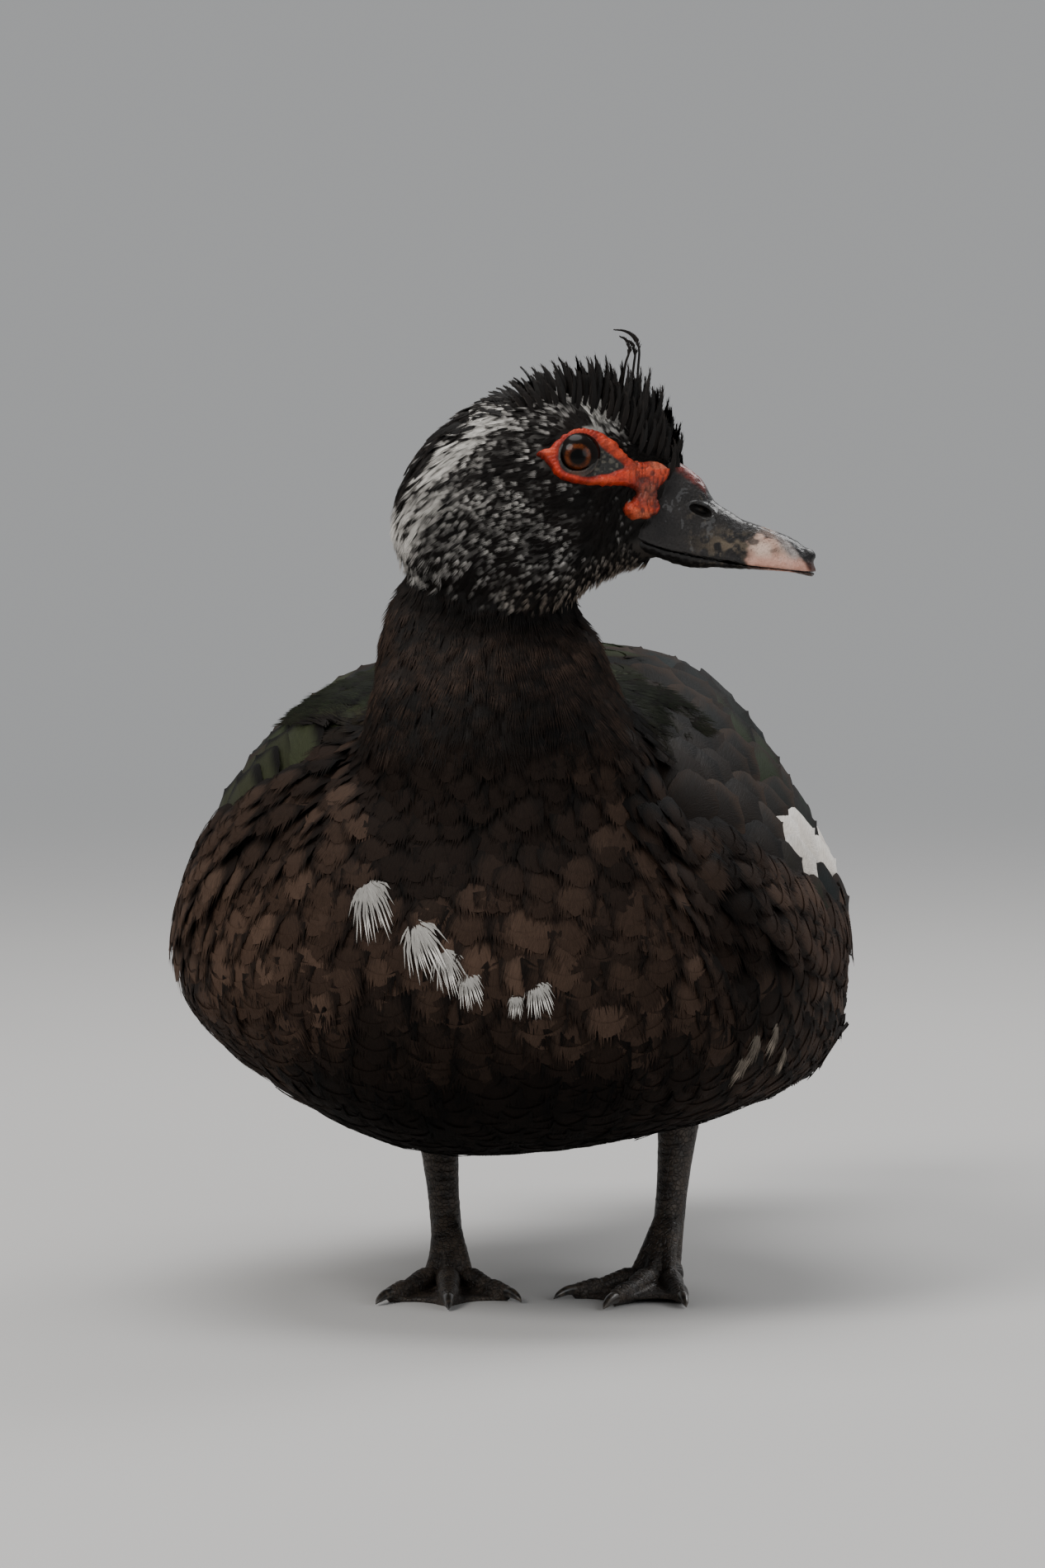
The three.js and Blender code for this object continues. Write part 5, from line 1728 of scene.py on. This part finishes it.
def leg_parts(leg, hand):
    """Shank, toes, webs and pad of one leg, with the skin drawn out from the shank over the toes."""
    aim = foot_aim(leg, hand)
    at = np.array(leg["foot"], float)
    ankle = np.array(leg["ankle"], float)
    low = at + [0, 1.5, 0]
    middle = (low + ankle) / 2
    top = ankle + [0, 3, 6]
    parts = []
    for toe in TOES:
        r = toe["radius"]
        line = []
        for t in (0, 0.3, 0.36, 0.62, 0.68, 0.9):
            line.append(aim(-toe["turn"], toe["length"] * t, blend(7.5, r * 0.86, min(1, t * 1.5))))
        parts.append(rod(line, [r * 1.2, r * 0.94, r * 1.14, r * 0.86, r * 1.04, r * 0.62], 20, 30))
        parts.append(ball(line[2] - [0, 0, 0.4], [r * 1.05, r * 1.05, r * 0.9], 16, 10))
        drawn = [blend(low, ankle, 0.34), aim(-toe["turn"], 7, 13), line[1] + [0, 0, 0.6]]
        parts.append(rod(drawn, [4.4, 3.4, 2.0], 16, 20))
    parts += [web(aim, a, b) for a, b in zip(TOES, TOES[1:])]
    parts.append(ball([at[0], at[1] - 1.4, 5.6], [7.0, 7.6, 6.8]))
    parts.append(rod([aim(12, -1, 9), aim(12, -10, 5.5), aim(12, -15, 3.4)], [3.4, 2.8, 2.1], 14, 12))
    parts.append(rod([top, ankle, middle, low, low + [0, 0, -2]], [8.0, 7.6, 5.5, 5.6, 6.0], 24, 30, 1.12))
    return parts


def leg_mesh(leg, hand):
    """A leg with cross plates down its front and along the toes, as low steps in the surface."""
    mesh = fused(leg_parts(leg, hand), 0.62, 3)
    points = points_of(mesh)
    normals = normals_of(mesh)
    x, y, z = points.T
    at = leg["foot"]
    front = smoothstep(-normals[:, 1], 0.15, 0.7) * smoothstep(z, 13, 18)
    rise = front * (0.38 * ((z / 3.1) % 1) - 0.19)
    ahead = np.hypot(x - at[0], y - at[1])
    angle = np.degrees(np.arctan2(x - at[0], at[1] - y)) - leg["turn"]
    above = smoothstep(normals[:, 2], 0.25, 0.75) * smoothstep(z, 14, 10)
    for toe in TOES:
        on_toe = smoothstep(np.abs(angle + hand * toe["turn"]) * ahead / 57.3, 3.4, 1.6)
        rise = rise + on_toe * above * (0.34 * ((ahead / 2.6) % 1) - 0.17)
    rise = rise + 0.22 * (grain(points, 1.6, 6) - 0.5) * smoothstep(z, 0.4, 1.5)
    points = points + normals * rise[:, None]
    points[:, 2] = np.maximum(points[:, 2], 0.0)
    move_points(mesh, points)
    return mesh


def claws(leg, hand):
    """The claws of one foot, bent down at their points."""
    aim = foot_aim(leg, hand)
    parts = []
    for toe in TOES:
        r = toe["radius"]
        reaches = ((0.84, 3.0), (0.95, 3.1), (1.04, 2.0), (1.09, 0.7))
        line = [aim(-toe["turn"], toe["length"] * t, level) for t, level in reaches]
        parts.append(rod(line, [r * 0.62, r * 0.5, r * 0.32, 0.15], 14, 16))
    line = [aim(12, -13, 3.7), aim(12, -16.5, 3.4), aim(12, -19, 2.2), aim(12, -20.5, 0.7)]
    parts.append(rod(line, [1.9, 1.5, 0.9, 0.15], 12, 14))
    return joined(parts)


# Bill


def bill_form():
    def place(turn, t):
        return bill(turn, blend(BILL[0][0], BILL[-1][0], 1 - (1 - t) ** 1.4))

    return form(80, 96, place, (None, BILL_TIP))


def bill_painted(mesh, lower):
    """Fine relief and colours of a half of the bill, then carried to its place."""
    points = points_of(mesh)
    normals = normals_of(mesh)
    ahead, aside, level = points.T
    below = BILL_SECTIONS[1](ahead) - level
    jag = 1.6 * (grain(points, 3.5, 12) - 0.5) + 0.9 * (grain(points, 1.2, 13) - 0.5)
    pits = grain(points, 1.1, 9) * 0.6 + grain(points, 0.55, 10) * 0.4
    ridges = np.sin(ahead * 2.2 + 3 * grain(points, 5, 11)) * smoothstep(level, -24, -31)
    ridges = ridges * smoothstep(ahead, 62, 50)
    knob = smoothstep(below, 4.2 + jag, 2.0 + jag) * hump(ahead, 31, 34, 40, 43.5)
    lumps = (grain(points, 4.5, 35) - 0.5) * smoothstep(ahead, 64, 54)
    relief = 0.26 * (pits - 0.5) + 0.7 * lumps + 0.05 * ridges + 0.5 * knob * grain(points, 2.2, 30)
    points = points + normals * relief[:, None]

    ground = tinted(*HORN, grain(points, 4, 14))
    base = smoothstep(ahead, 40, 34) * smoothstep(below, 3.5, 7) * grain(points, 3, 31)
    ground = washed(ground, HORN_BASE, 0.8 * base)
    spread = bell(ahead, 50, 8) * bell(level, -30, 4.2)
    ground = washed(ground, HORN_OLIVE, 0.85 * spread * smoothstep(grain(points, 2.2, 25), 0.42, 0.62))
    ground = washed(ground, tinted(*KNOB_RED, grain(points, 2.0, 26)), knob * 0.9)

    flesh = tinted(*SADDLE, grain(points, 2.6, 15))
    flesh = washed(flesh, SADDLE_LOW, smoothstep(level, -32, -36) * 0.6)
    band = smoothstep(ahead + 0.75 * (level + 30), 66, 69) * smoothstep(level, -36.5, -33)
    flesh = washed(flesh, tinted(*SADDLE_BLUE, grain(points, 1.8, 16)), band * 0.85)
    murk = smoothstep(grain(points, 1.7, 32) + 0.12 * smoothstep(below, 8, 2), 0.5, 0.66)
    murk = murk * smoothstep(level, -34.5, -31) * smoothstep(ahead, 71, 62)
    flesh = washed(flesh, SADDLE_MURK, 0.85 * murk)
    back = 56.8 + jag * 1.8 + 3.4 * smoothstep(below, 7, 1)
    saddle = smoothstep(ahead, back - 1.0, back + 1.8)
    ground = washed(ground, flesh, saddle)

    nail = smoothstep(ahead + 0.75 * (level + 34) - 0.1 * np.abs(aside) ** 1.6 + 0.7 * jag, 71.2, 73.6)
    tip = washed(tinted(*NAIL, grain(points, 2, 17)), NAIL_LOW, smoothstep(level, -34.5, -38.5) * 0.7)
    ground = washed(ground, tip, nail)
    if lower:
        dim = np.maximum(smoothstep(ahead, 69, 58), smoothstep(ahead, 70.5, 73.5))
        ground = washed(ground, HORN_LOWER, 0.9 * dim)
    give(mesh, "colour", ground)
    horn = (1 - nail) * (1 - saddle) * (1 - knob)
    give(mesh, "mottle", 0.8 * horn * smoothstep(ahead, 32, 44) * smoothstep(below, 2, 5))
    give(mesh, "speck", (1 - nail) * (0.6 - 0.35 * saddle * smoothstep(level, -31, -34)))
    move_points(mesh, from_head(points))
    return mesh


def nostril(hand):
    """The hollow of a nostril, to be cut out."""
    x, y, z = NOSTRIL_AT
    long, deep = NOSTRIL_SIZE
    at = Matrix.Translation((x, hand * y, z)) @ Matrix.Rotation(NOSTRIL_TILT, 4, "Y")
    return turned(ball([0, 0, 0], [long, deep, long * 0.44]), at)


def nostril_rim(hand):
    """A low rim about a nostril, laid on the side of the bill."""
    turn = np.linspace(0, 2 * math.pi, 24)
    along = 4.9 * np.cos(turn)
    up = 2.2 * np.sin(turn)
    c = math.cos(NOSTRIL_TILT)
    s = math.sin(NOSTRIL_TILT)
    ahead = NOSTRIL_AT[0] + along * c + up * s
    level = NOSTRIL_AT[2] - along * s + up * c
    at = bill(turn_at(bill, ahead, level), ahead)
    at[:, 1] *= hand
    return rod(at, [0.55] * 4, 10, 60)


def bill_upper_mesh():
    """The upper half: the bill above the gape, with its nail, a lip along the gape, and the nostrils."""
    end_level = GAPE[-1][1]
    above = wall([*GAPE, [WALL_END, end_level], [WALL_END, WALL_TOP], [0, WALL_TOP]])
    parts = [cut(bill_form(), above, "INTERSECT"), ball([74.6, 0, -34.0], [4.8, 4.2, 3.0])]
    for hand in (1, -1):
        parts.append(nostril_rim(hand))
        lip = [[x, hand * aside, level] for x, aside, level in LIP]
        parts.append(rod(lip, [0.9, 0.8, 0.7, 0.4], 10, 40))
    whole = opened(fused(parts, 0.4, 3))
    for hand in (1, -1):
        whole = cut(whole, nostril(hand), "DIFFERENCE")
    return bill_painted(fused([whole], 0.4, 2), False)


def bill_lower_mesh():
    """The lower half: the bill below the gape, a little narrower."""
    gape = [[x, level - 0.4] for x, level in GAPE]
    below = wall([*gape, [WALL_END, GAPE[-1][1] - 0.3], [WALL_END, WALL_FOOT], [0, WALL_FOOT]])
    narrower = turned(bill_form(), Matrix.Diagonal((1, 0.94, 1, 1)))
    return bill_painted(fused([cut(narrower, below, "INTERSECT")], 0.4, 3), True)


# Coats of the body


wing_low, wing_high = columns(WING)


def flank_level(y, degrees):
    """The level of the trunk's surface at a turn in degrees."""
    return trunk_bare(np.radians(degrees), y)[:, 2]


def under_wing(points):
    """Where the folded wing covers the flank and the back."""
    x, y, z = points.T
    shown = (z > flank_level(y, looked_up(BROWN_EDGE, y)) + 2) & (z < flank_level(y, wing_high(y)) - 3)
    return shown & (y > -66) & (y < 150) & (np.abs(x) > 18)


def over_wing(points):
    """How far the brown feathers of the flank lie over the wing's lower and front edges, from 0 to 1."""
    _, y, z = points.T
    low = flank_level(y, wing_low(y))
    high = flank_level(y, wing_high(y))
    return hump(z, low - 14, low + 2, high, high + 12) * hump(y, -84, -66, 140, 160)


def body_lie(points):
    """The lie of the body's feathers: down the neck and the breast, then back along belly and flanks."""
    x, y, z = points.T
    neckness = smoothstep(z, 186, 214) * smoothstep(y, 30, -10)
    downwards = np.maximum(smoothstep(y, -15, -85), neckness)
    aside = 0.35 * neckness * smoothstep(z, 235, 190) * np.sign(x - 8)
    return np.stack([aside, 1 - 0.93 * downwards, -0.4 - 1.5 * downwards], axis=-1)


def breast_spacing(points, hand):
    """How far apart the feathers of the breast are on one side, and 0 where none grow."""
    x, y, z = points.T
    keep = (y < 0) & (z < 204) & ~under_wing(points) & ((x >= 0) == (hand > 0))
    return np.where(keep, blend(5.7, 6.6, smoothstep(y, -90, 0)), 0)


def rear_spacing(points):
    y = points[:, 1]
    keep = (y >= 0) & (y < 236) & ~under_wing(points)
    for leg in LEGS.values():
        keep &= np.linalg.norm(points - np.array(leg["ankle"]), axis=1) >= 9
    return np.where(keep, 7.4, 0)


def collar_spacing(points):
    _, y, z = points.T
    ahead, _, level = to_head(points).T
    on_the_head = (level > ruff_level(ahead) + 3) & (z > 225)
    return np.where((z >= NECK_ROOT) & (y < 0) & ~on_the_head, 2.4, 0)


def body_coats(skin, contour_finish, brush_finish):
    """The contour feathers of breast, belly, flanks and back, and the finer ones of the neck."""
    rng = np.random.default_rng(31)
    contours = [contour_shape(40 + k) for k in range(6)]
    brushes = [brush_shape(50 + k, 14, 0.95, 0.075) for k in range(6)]
    kinds = {
        "breast_feathers_left": (lambda points: breast_spacing(points, 1), contours, contour_finish),
        "breast_feathers_right": (lambda points: breast_spacing(points, -1), contours, contour_finish),
        "body_feathers_rear": (rear_spacing, contours, contour_finish),
        "neck_feathers": (collar_spacing, brushes, brush_finish),
    }
    for name, (spacing, shapes, finish) in kinds.items():
        seed, tried, long_high, long_low, broad, stand = BODY_COATS[name]
        roots, normals = skin.scatter(seed, tried, spacing)
        count = len(roots)
        draw = np.random.default_rng(seed + 1).random(count)
        level = roots[:, 2]
        length = blend(long_high, long_low, smoothstep(level, 195, 100)) * blend(0.85, 1.15, draw)
        lie = swung(laid(unit(body_lie(roots)), normals), normals, rng.normal(0, 0.14, count))
        depth = blend(BODY_COAT, NECK_COAT, smoothstep(level, *NECK_COAT_LEVELS))
        tip_lift = depth * stand * rng.uniform(0.45, 1.05, count)
        over = WING_THICKNESS * over_wing(roots)
        lifts = (-0.3 * depth + 0.8 * over, 0.25 * depth + 0.6 * tip_lift + over, tip_lift + over)
        spine, out = skin.spines(roots, normals, lie, length, lifts)
        edge, centre = body_colour(roots, draw)
        # painted shade: neck feathers close under the head's overhanging edge are darkened
        ahead, _, head_level = to_head(roots).T
        under_ruff = smoothstep(ruff_level(ahead) - head_level, 2, 13)
        shade = np.where(level > 225, 0.2 + 0.8 * under_ruff, 1)[:, None]
        colours = (edge * shade, centre * shade)
        coat(name, shapes, spine, out, length * broad, colours, seed, finish, "body_feathers", twist=0.06)


def white_feathers(skin, finish):
    """A few white feathers low on the breast and pale frayed ones on the flank, each a fan of fine barbs."""
    shapes = [fan_shape(130 + k, 40) for k in range(3)]
    kinds = {"white_feathers": (WHITE_FANS, WHITE, 1.3), "pale_feathers": (PALE_TUFTS, TUFT_GREY, 1.0)}
    for name, (rows, colour, lift) in kinds.items():
        found = [skin.seen(x, y) for x, y, *_ in rows]
        roots = np.array([at for at, _ in found])
        normals = np.array([out for _, out in found])
        length, half, turn = np.array(rows, float)[:, 2:].T
        lie = swung(laid(np.tile([0.0, 0.1, -1.0], (len(rows), 1)), normals), normals, turn)
        lifts = [height + 0 * half for height in (1.0, BODY_COAT * 0.8 + lift * 0.6, BODY_COAT + lift)]
        spine, out = skin.spines(roots, normals, lie, length, lifts)
        pale = np.tile(colour, (len(rows), 1))
        coat(name, shapes, spine, out, half, (pale * 0.4, pale), 132, finish, "body_feathers", high=0.5)


# Coats of the head


BARE_ROUNDED = rounded(BARE, 1)


def head_spacing(points, hand):
    """How far apart the feathers of the head are on one side, and 0 where none grow."""
    ahead, aside, level = to_head(points).T
    keep = (points[:, 2] > 230) & (aside * hand >= 0) & (level > ruff_level(ahead) + 1.5)
    keep &= (ahead < looked_up(BILL_EDGE, level) - 0.6) & ~inside(BARE_ROUNDED, ahead, level)
    return np.where(keep, blend(1.3, 1.15, smoothstep(ahead, -20, 14)), 0)


def head_coats(skin, finish):
    """The short brush-like feathers of the head, from bill and eye to the nape and down to the throat."""
    shapes = [brush_shape(70 + k, 9, 0.85, 0.125) for k in range(8)]
    rng = np.random.default_rng(71)
    for side, hand in SIDES.items():
        roots, normals = skin.scatter(72 + hand, 160000, lambda points: head_spacing(points, hand))
        count = len(roots)
        local = to_head(roots)
        ahead, _, level = local.T
        draw = rng.random(count)
        above = level - ruff_level(ahead)
        fall = 0.3 + 0.7 * smoothstep(ahead, -14, -52)
        fall = fall + 1.2 * smoothstep(ahead, 2, 12) * smoothstep(level, -4, -16)
        fall = fall + 0.7 * smoothstep(above, 20, 4)
        brow = smoothstep(level, 4, 10) * smoothstep(ahead, -14, 8)
        way = np.stack([-1 + 0.75 * brow, 0 * fall, -fall * (1 - brow) + 1.3 * brow], axis=-1)
        lie = swung(laid(unit(way @ HEAD_AXES.T), normals), normals, rng.normal(0, 0.16, count))
        nape = smoothstep(ahead, -30, -56)
        front = smoothstep(ahead, -10, 12)
        high = smoothstep(level, 6, 12) * smoothstep(ahead, -8, 2)
        length = (blend(blend(6.2, 4.4, front), 9.5, nape) + 3.6 * high) * rng.uniform(0.8, 1.2, count)
        hem = smoothstep(above, 9, 2)
        tip_lift = HEAD_COAT * rng.uniform(0.55, 1.25, count) + 1.0 * nape * draw + 2.6 * hem * draw
        spine, out = skin.spines(roots, normals, lie, length, (-0.4 + 0 * draw, 0.65 * tip_lift, tip_lift))
        half = blend(blend(0.98, 0.85, front), 1.15, nape) + 0.3 * high
        colours = head_colour(local, draw)
        name = f"head_feathers_{side}"
        coat(name, shapes, spine, out, half, colours, 75 + hand, finish, "head_feathers", twist=0.15)


def crown_level(ahead):
    return HEAD_SECTIONS[1](np.clip(ahead, -60, 33))


def crest_spacing(points):
    """How far apart the feathers of the crest are, and 0 where none grow."""
    ahead, _, level = to_head(points).T
    keep = crown_level(ahead) - level < looked_up(CREST_DEPTHS, ahead)
    keep &= (ahead > -56) & (ahead < 33.5) & (points[:, 2] > 262) & ~inside(BARE_ROUNDED, ahead, level)
    return np.where(keep, blend(1.75, 1.6, smoothstep(ahead, 0, 20)), 0)


def crest_coat(skin, finish):
    """The crest: firm slender feathers that stand up from forehead, brow and crown and lie over the nape."""
    rng = np.random.default_rng(81)
    shapes = [blade_shape(90 + k) for k in range(8)]
    roots, normals = skin.scatter(82, 90000, crest_spacing)
    count = len(roots)
    draw = rng.random(count)
    local = to_head(roots)
    ahead, aside, level = local.T
    none = 0 * ahead
    up = normals @ HEAD_AXES
    top = crown_level(ahead)
    under = np.clip(top - level, 0, 30)
    stands = smoothstep(ahead, -26, 2)
    rise = looked_up(CREST_TIPS, ahead, 2) - top + under * stands
    rise = rise * (1 - 0.2 * np.clip(np.abs(aside) / 20, 0, 1) ** 2)
    reach = np.stack([looked_up(CREST_TIPS, ahead) - ahead, 0.05 * aside, rise], axis=-1)
    longest = blend(19.0, 20.0, stands)
    size = np.minimum(1, longest / np.linalg.norm(reach, axis=1)) * rng.uniform(0.58, 0.98, count)
    size = size * (1 - 0.25 * smoothstep(under, 5, 14))
    reach = reach * size[:, None] + rng.normal(0, 1.0, (count, 3)) * [1, 0.8, 0.5]
    length = np.linalg.norm(reach, axis=1)
    start = local - up * 0.5
    forwards = np.stack([0.4 * stands, none, none], axis=-1)
    middle = start + reach * 0.5 + up * (0.12 * length)[:, None] + forwards
    end = start + reach + up * (0.4 * (1 - stands) + 0.06 * length * stands)[:, None]
    end[:, 0] -= 0.07 * length * stands * smoothstep(ahead, 30, 12)
    spine = np.stack([from_head(row) for row in (start, middle, end)], axis=1)
    side = np.sign(aside + rng.normal(0, 2.5, count))
    out = up * (0.35 + 0.65 * (1 - stands))[:, None] + np.stack([none, side * 1.1 * stands, none], axis=-1)
    out = unit(out + rng.normal(0, 0.2, (count, 3))) @ HEAD_AXES.T
    # the crest feathers' pale edges are painted highlight; a few at the back are white
    edge = tinted(DARK_BROWN, CREST_EDGE_HIGHLIGHT, draw ** 2)
    edge[(rng.random(count) > 0.94) & (ahead < -16)] = WHITE
    half = blend(1.4, 1.0, stands) * rng.uniform(0.85, 1.15, count)
    colours = (tinted(INK, DARK_BROWN, 0.4 * draw), edge)
    coat("crest", shapes, spine, out, half, colours, 83, finish, "head_feathers", twist=0.25)


def curls():
    """Thin curled feathers over the crest, each a narrow vane with fine barbs along it."""
    rng = np.random.default_rng(91)
    parts = []
    for points in CURLS:
        parts.append(rod(points, [0.4, 0.42, 0.36, 0.2, 0.06], 10, 40, 2.6))
        line = evenly(points)
        for t in np.linspace(0.4, 0.97, 26):
            at = points_on(line, t)
            ahead = unit(points_on(line, t + 0.02) - at)
            across = np.array([ahead[2], 0, -ahead[0]]) * rng.choice([-1, 1])
            across = across + [0, rng.uniform(-0.3, 0.3), 0]
            tip = at + unit(ahead * 1.9 + across) * 3.0 * (1.12 - t)
            parts.append(rod([at, (at + tip) / 2 + ahead * 0.25, tip], [0.26, 0.2, 0.05], 5, 5))
    mesh = joined(parts)
    points = from_head(points_of(mesh))
    move_points(mesh, points)
    count = len(points)
    give(mesh, "colour", tinted(INK, DARK_BROWN, np.full(count, 0.5)))
    # the curls' second colour is a painted highlight
    give(mesh, "second", tinted(INK, CURL_EDGE_HIGHLIGHT, np.full(count, 0.8)))
    for key in ("along", "across", "draw", "gloss"):
        give(mesh, key, np.full(count, 0.5))
    give(mesh, "barb", points / 0.6, False)
    return mesh


# Wings and tail


def wing_coat(hand, side_name, finish):
    """One folded wing: small coverts over the shoulder, longer ones behind them, then flight feathers."""
    rng = np.random.default_rng(101)
    shapes = [vane_shape(110 + k, 0.5, 0.06) for k in range(5)]
    rows = []
    for tier, (y, low, high, count, length, width, slant, rise) in enumerate(WING_ROWS):
        shares = (np.arange(count) + 0.5 * (tier % 2)) / max(1, count - 0.5)
        rows.append([
            np.radians(blend(low, high, shares)) + rng.normal(0, 0.015, count),
            y + rng.normal(0, 2.0, count),
            length * rng.uniform(0.92, 1.07, count),
            width * rng.uniform(1.05, 1.2, count),
            slant + rng.normal(0, 0.045, count),
            rise + rng.uniform(-0.35, 0.35, count),
            np.full(count, tier),
        ])
    turn, y, length, width, slant, rise, tier = np.concatenate(rows, axis=1)

    def flank(at_turn, at_y, lift):
        return trunk(at_turn if hand > 0 else math.pi - at_turn, at_y, lift)

    spine = []
    for share, lift_share in ((0, 0), (0.5, 0.62), (1, 1)):
        at_y = y + length * share * np.cos(slant)
        at_turn = turn + length * share * np.sin(slant) / FLANK_RADIUS
        spine.append(flank(at_turn, at_y, blend(WING_ROOT_LIFT, rise, lift_share))[0])
    spine = np.stack(spine, axis=1)
    _, out = flank(turn, y + length / 2, 0 * y)
    side = unit(np.cross(spine[:, 2] - spine[:, 0], out))
    out = unit(out + side * 0.07 * hand)

    white_reach, bronze_share, painted_light_factor = WING_LOOKS[hand]
    degrees = np.degrees(turn)
    clear = degrees > looked_up(BROWN_EDGE, y + length / 2) + 2
    white = (y > -24) & (y < 42) & (degrees < white_reach - 0.16 * (y + 14)) & clear
    firm = tier > FLIGHT_TIER
    green = smoothstep(grain(spine[:, 1], 26, 19) + 0.1 * (hand < 0) - 0.25 * (tier > 7), 0.45, 0.7)
    middle = washed(tinted(TEAL, GREEN, green), BRONZE, 0.5 * rng.random(len(y)))
    # painted light and shade: each wing's colours are scaled by its painted light factor
    middle = washed(middle, BRONZE, smoothstep(y, 10, -36) * bronze_share) * painted_light_factor
    middle[firm] *= 0.35
    middle[white] = WING_WHITE
    dusk = smoothstep(grain(spine[:, 1], 16, 27), 0.35, 0.6) * smoothstep(tier, 8, 5)
    border = tinted(INK, WING_BORDER, dusk * rng.uniform(0.4, 1, len(y)))
    border[white] = WING_WHITE_EDGE
    gloss = np.where(white, 0.0, np.where(firm, 0.6, 1.0))
    name = f"wing_feathers_{side_name}"
    nodes = (f"wing_{side_name}",)
    colours = (middle, border)
    slot = "wing_feathers"
    coat(name, shapes, spine, out, width / 2, colours, 102 + hand, finish, slot, nodes, 0.9, gloss)


def tail_coat(finish):
    """The tail fan, each feather a little below the one before, with coverts over and under its roots."""
    rng = np.random.default_rng(121)
    shapes = [vane_shape(122 + k, 0.8, 0.05) for k in range(4)]
    spine = []
    out = []
    half = []
    for i in range(TAIL_FEATHERS):
        rank = i // 2
        share = (-1) ** i * (rank + 0.5) / (TAIL_FEATHERS / 2)
        angle = TAIL_SPREAD * share
        root = np.array([15 * share, TAIL_CUT_Y + 7, 155 - 0.86 * i])
        along = np.array([math.sin(angle), math.cos(angle), 0.02])
        length = (97 - 1.3 * rank) * rng.uniform(0.985, 1.015)
        spine.append([root, root + along * length / 2 + [0, 0, 0.5], root + along * length])
        out.append([0, 0, 1])
        half.append(10.5)
    for y, low, high, count, length, width in TAIL_COVERTS:
        for share in np.linspace(0, 1, count):
            turn = np.array([math.radians(blend(low, high, share)) + rng.normal(0, 0.05)])
            at_y = np.array([TAIL_CUT_Y + y + rng.uniform(-1.5, 1.5)])
            roots, normals = trunk(turn, at_y, np.array([-2.4]))
            root = roots[0]
            normal = normals[0]
            lie = unit(np.array([normal[0] * 0.22, 1, normal[2] * 0.02 - 0.06 * np.sign(normal[2])]))
            along = lie * length * rng.uniform(0.92, 1.08)
            spine.append([root, root + along / 2 + normal * 1.9, root + along + normal * 1.2])
            out.append(normal)
            half.append(width / 2)
    draw = rng.random(len(spine))
    colours = (tinted(TEAL, GREEN, 0.6 * draw) * 0.6, tinted(INK, BRONZE, draw * 0.8))
    gloss = np.where(np.arange(len(spine)) < TAIL_FEATHERS, 1.0, 0.6)
    spine, out, half = (np.array(rows, float) for rows in (spine, out, half))
    slot = "wing_feathers"
    coat("tail_feathers", shapes, spine, out, half, colours, 123, finish, slot, ("tail",), 0.8, gloss)


# Making the bird


def make_bird():
    contour = plumage_finish("body_plumage", centre_mark, 0.05, 0.6)
    brush = plumage_finish("head_plumage", tip_mark, 0.12, 0.55)
    lock = plumage_finish("crest_plumage", fringe_mark, 0.16, 0.46)
    glossy = plumage_finish("wing_plumage", border_mark, 0.04, 0.5, 0.05, 0.35)
    flesh = skin_mesh()
    skin = Skin(flesh)
    body_coats(skin, contour, brush)
    white_feathers(skin, brush)
    head_coats(skin, brush)
    crest_coat(skin, lock)
    piece("crest_curls", curls(), lock, "head_feathers")
    covered = ("torso", "neck", "head", "thigh_left", "thigh_right")
    piece("skin", flesh, skin_finish(), "body_feathers", *covered)
    for side, hand in SIDES.items():
        wing_coat(hand, side, glossy)
    tail_coat(glossy)
    red = bare_skin_finish()
    iris = eye_finish()
    horn = bill_finish()
    scaly = leg_finish()
    nail = claw_finish()
    for side, hand in SIDES.items():
        leg = LEGS[side]
        piece(f"face_{side}", face(hand), red, "caruncle")
        piece(f"eyeball_{side}", eye(hand), iris, "eye_brown", f"eye_{side}")
        piece(f"leg_{side}", leg_mesh(leg, hand), scaly, "leg_skin", f"shank_{side}", f"foot_{side}")
        piece(f"claws_{side}", claws(leg, hand), nail, "claw_horn")
    piece("bill_over", bill_upper_mesh(), horn, "bill_horn", "bill_upper")
    piece("bill_under", bill_lower_mesh(), horn, "bill_horn", "bill_lower")


# Camera, light and floor


def make_camera():
    """The camera at the photograph's angle, with the bird as large in the frame."""
    camera = bpy.data.cameras.new("camera")
    camera.lens = SENSOR * VIEW_DISTANCE / (PHOTO_HEIGHT / PIXELS_PER_MM)
    camera.sensor_width = SENSOR
    camera.clip_start = 0.1
    camera.clip_end = 100
    holder = put("camera", camera)
    back = Vector(VIEW_BACK)
    holder.location = Vector((VIEW_TARGET + HOME) / 1000) + back * (VIEW_DISTANCE / 1000)
    holder.rotation_euler = (-back).to_track_quat("-Z", "Y").to_euler()
    bpy.context.scene.camera = holder


def make_studio():
    """A pale floor, four soft lights aimed at the bird, and a grey sky."""
    made = bmesh.new()
    bmesh.ops.create_circle(made, cap_ends=True, segments=96, radius=3)
    mesh = joined([made])
    mesh.materials.append(floor_finish())
    floor = put("floor", mesh)
    for name, (at, width, power, colour) in LIGHTS.items():
        light = bpy.data.lights.new(name, "AREA")
        light.shape = "DISK"
        light.size = width
        light.energy = power
        light.color = colour
        holder = put(name, light)
        holder.location = at
        holder.rotation_euler = (Vector(LIGHTS_AIM) - Vector(at)).to_track_quat("-Z", "Y").to_euler()
    world = bpy.data.worlds.new("studio")
    world.use_nodes = True
    background = world.node_tree.nodes["Background"]
    background.inputs["Color"].default_value = SKY
    background.inputs["Strength"].default_value = SKY_STRENGTH
    bpy.context.scene.world = world


make_camera()
make_studio()
make_bird()
